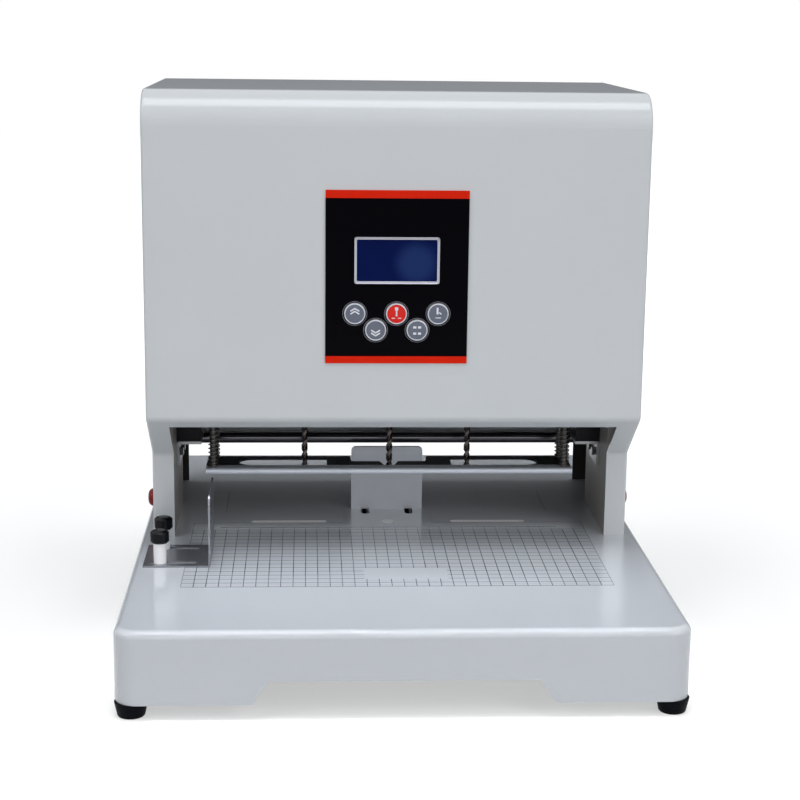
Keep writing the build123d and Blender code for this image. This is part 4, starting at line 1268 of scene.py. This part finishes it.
@dataclass
class Studio:
    """Pale floor, soft lamps, plain surroundings and the camera."""

    ambient: float = 0.36
    floor_size: float = 12.0
    floor_near: tuple[float, float] = (0.35, 0.47)
    floor_far: tuple[float, float] = (1.4, 0.95)
    floor_mirrored: float = 0.3
    floor_colour: str = "#C8C8C8"
    cloth_place: tuple[float, float, float] = (0.0, 2.2, 0.75)
    cloth_size: tuple[float, float] = (5.0, 1.4)
    cloth_colour: str = "#242224"
    sensor: float = 36.0
    lens: float = 79.41
    camera_place: tuple[float, float, float] = (-0.0737, -1.5199, 0.5210)
    pitch: float = 12.364
    yaw: float = -3.082
    roll: float = -0.692
    lamps: tuple[Softbox, ...] = (
        Softbox("key", (-1.7, -1.2, 1.7), (0.0, -0.1, 0.2), 1.2, 1.0, 11.0),
        Softbox("fill", (1.6, -1.9, 1.6), (0.0, -0.1, 0.2), 1.4, 1.4, 17.5),
        Softbox("top", (0.0, -0.75, 3.4), (0.0, -0.3, 0.1), 2.4, 1.5, 48.0, tint="#F5F9FF"),
        Softbox(
            "front", (0.0, -0.36, 1.6), (0.0, -0.19, 0.07), 0.5, 0.12, 0.16,
            spread=12.0, mirrored=False,
        ),
        Softbox(
            "back", (0.0, 0.45, 1.6), (0.0, 0.3, 0.07), 0.5, 0.1, 0.14,
            spread=14.0, mirrored=False,
        ),
        Softbox("rear", (0.8, 2.6, 0.9), (0.0, 0.2, 0.25), 1.2, 1.0, 5.0, mirrored=False),
        Softbox("low", (0.0, -1.6, 0.28), (0.0, 0.1, 0.14), 1.0, 0.3, 3.0, mirrored=False),
    )

    def build(self) -> None:
        """Make the whole studio."""
        self.camera()
        self.floor()
        self.backdrop()
        self.surroundings()
        for lamp in self.lamps:
            data = bpy.data.lights.new(lamp.name, "AREA")
            data.shape = "RECTANGLE"
            data.size, data.size_y, data.energy = lamp.width, lamp.height, lamp.power
            data.spread = math.radians(lamp.spread)
            data.color = linear(lamp.tint)[:3]
            softbox = bpy.data.objects.new(lamp.name, data)
            bpy.context.scene.collection.objects.link(softbox)
            softbox.location = lamp.place
            aim = Vector(lamp.aim) - Vector(lamp.place)
            softbox.rotation_euler = aim.to_track_quat("-Z", "Y").to_euler()
            softbox.visible_glossy = lamp.mirrored

    def camera(self) -> None:
        """Set the camera at the photograph's angle."""
        data = bpy.data.cameras.new("camera")
        data.lens, data.sensor_width = self.lens, self.sensor
        camera = bpy.data.objects.new("camera", data)
        bpy.context.scene.collection.objects.link(camera)
        turn = (
            Matrix.Rotation(math.radians(self.yaw), 4, "Z")
            @ Matrix.Rotation(math.radians(90 - self.pitch), 4, "X")
            @ Matrix.Rotation(math.radians(-self.roll), 4, "Z")
        )
        camera.matrix_world = Matrix.Translation(self.camera_place) @ turn
        bpy.context.scene.camera = camera

    def floor(self) -> None:
        """Lay a pale floor that keeps the object's shadow."""
        clear_bench()
        bpy.ops.mesh.primitive_plane_add(size=self.floor_size)
        floor = bpy.context.active_object
        floor.name = "studio_floor"
        material = bpy.data.materials.new("matt_white_paper")
        material.use_nodes = True
        tree = material.node_tree
        tree.nodes.clear()
        paper = add_node(tree, "BsdfDiffuse", {"Color": linear(self.floor_colour)})
        place = add_node(tree, "TexCoord").outputs["Object"]
        away = add_node(tree, "VectorMath", (place,), operation="LENGTH").outputs["Value"]
        limits = {"From Min": self.floor_near[0], "From Max": self.floor_far[0]}
        limits |= {"To Min": self.floor_near[1], "To Max": self.floor_far[1]}
        rise = add_node(tree, "MapRange", {"Value": away, **limits})
        ray = add_node(tree, "LightPath").outputs
        shown = add_node(tree, "Math", (rise, ray["Is Camera Ray"]), operation="MULTIPLY")
        gloss = (ray["Is Glossy Ray"], self.floor_mirrored)
        mirrored = add_node(tree, "Math", gloss, operation="MULTIPLY")
        strength = add_node(tree, "Math", (shown, mirrored), operation="ADD")
        glow = add_node(tree, "Emission", {"Strength": strength})
        total = add_node(tree, "AddShader", (paper, glow))
        add_node(tree, "OutputMaterial", {"Surface": total})
        floor.data.materials.append(material)

    def backdrop(self) -> None:
        """Hang a dark cloth behind the object that only its gloss picks up at low angles."""
        clear_bench()
        upright = (math.radians(90), 0, 0)
        bpy.ops.mesh.primitive_plane_add(size=1, rotation=upright, location=self.cloth_place)
        cloth = bpy.context.active_object
        cloth.name = "dark_cloth"
        cloth.scale = (*self.cloth_size, 1.0)
        settle(cloth)
        material = bpy.data.materials.new("dark_grey_cloth")
        material.use_nodes = True
        tree = material.node_tree
        tree.nodes.clear()
        grey = add_node(tree, "Emission", {"Color": linear(self.cloth_colour), "Strength": 1.0})
        add_node(tree, "OutputMaterial", {"Surface": grey})
        cloth.data.materials.append(material)
        for ray in ("camera", "diffuse", "transmission", "volume_scatter", "shadow"):
            setattr(cloth, f"visible_{ray}", False)

    def surroundings(self) -> None:
        """Set the world: soft light on the object, and white for rays that show what is behind."""
        world = bpy.data.worlds.new("studio")
        world.use_nodes = True
        tree = world.node_tree
        tree.nodes.clear()
        ray = add_node(tree, "LightPath").outputs
        either = (ray["Is Camera Ray"], ray["Is Glossy Ray"])
        seen = add_node(tree, "Math", either, operation="MAXIMUM")
        shown = add_node(tree, "Math", (seen, ray["Is Transmission Ray"]), operation="MAXIMUM")
        extra = add_node(tree, "Math", (shown, 1.0 - self.ambient), operation="MULTIPLY")
        strength = add_node(tree, "Math", (extra, self.ambient), operation="ADD")
        sky = add_node(tree, "Background", {"Color": linear("#FFFFFF"), "Strength": strength})
        add_node(tree, "OutputWorld", {"Surface": sky})
        bpy.context.scene.world = world
        bpy.context.scene.view_settings.view_transform = "Standard"


def main() -> None:
    """Build the studio and every sub-assembly."""
    logging.basicConfig(level=logging.INFO, format="%(name)s: %(message)s")
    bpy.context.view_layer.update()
    for part in (
        Studio(), Table(), Housing(), InnerFrame(), LiftDrive(), ControlPanel(), StartButtons(),
        PowerEntry(), Carriage(), Press(), SideFence(), BackGauge(),
    ):
        part.build()
        log.info("%s is built", type(part).__name__)
    clear_bench()


if __name__ == "__main__":
    main()
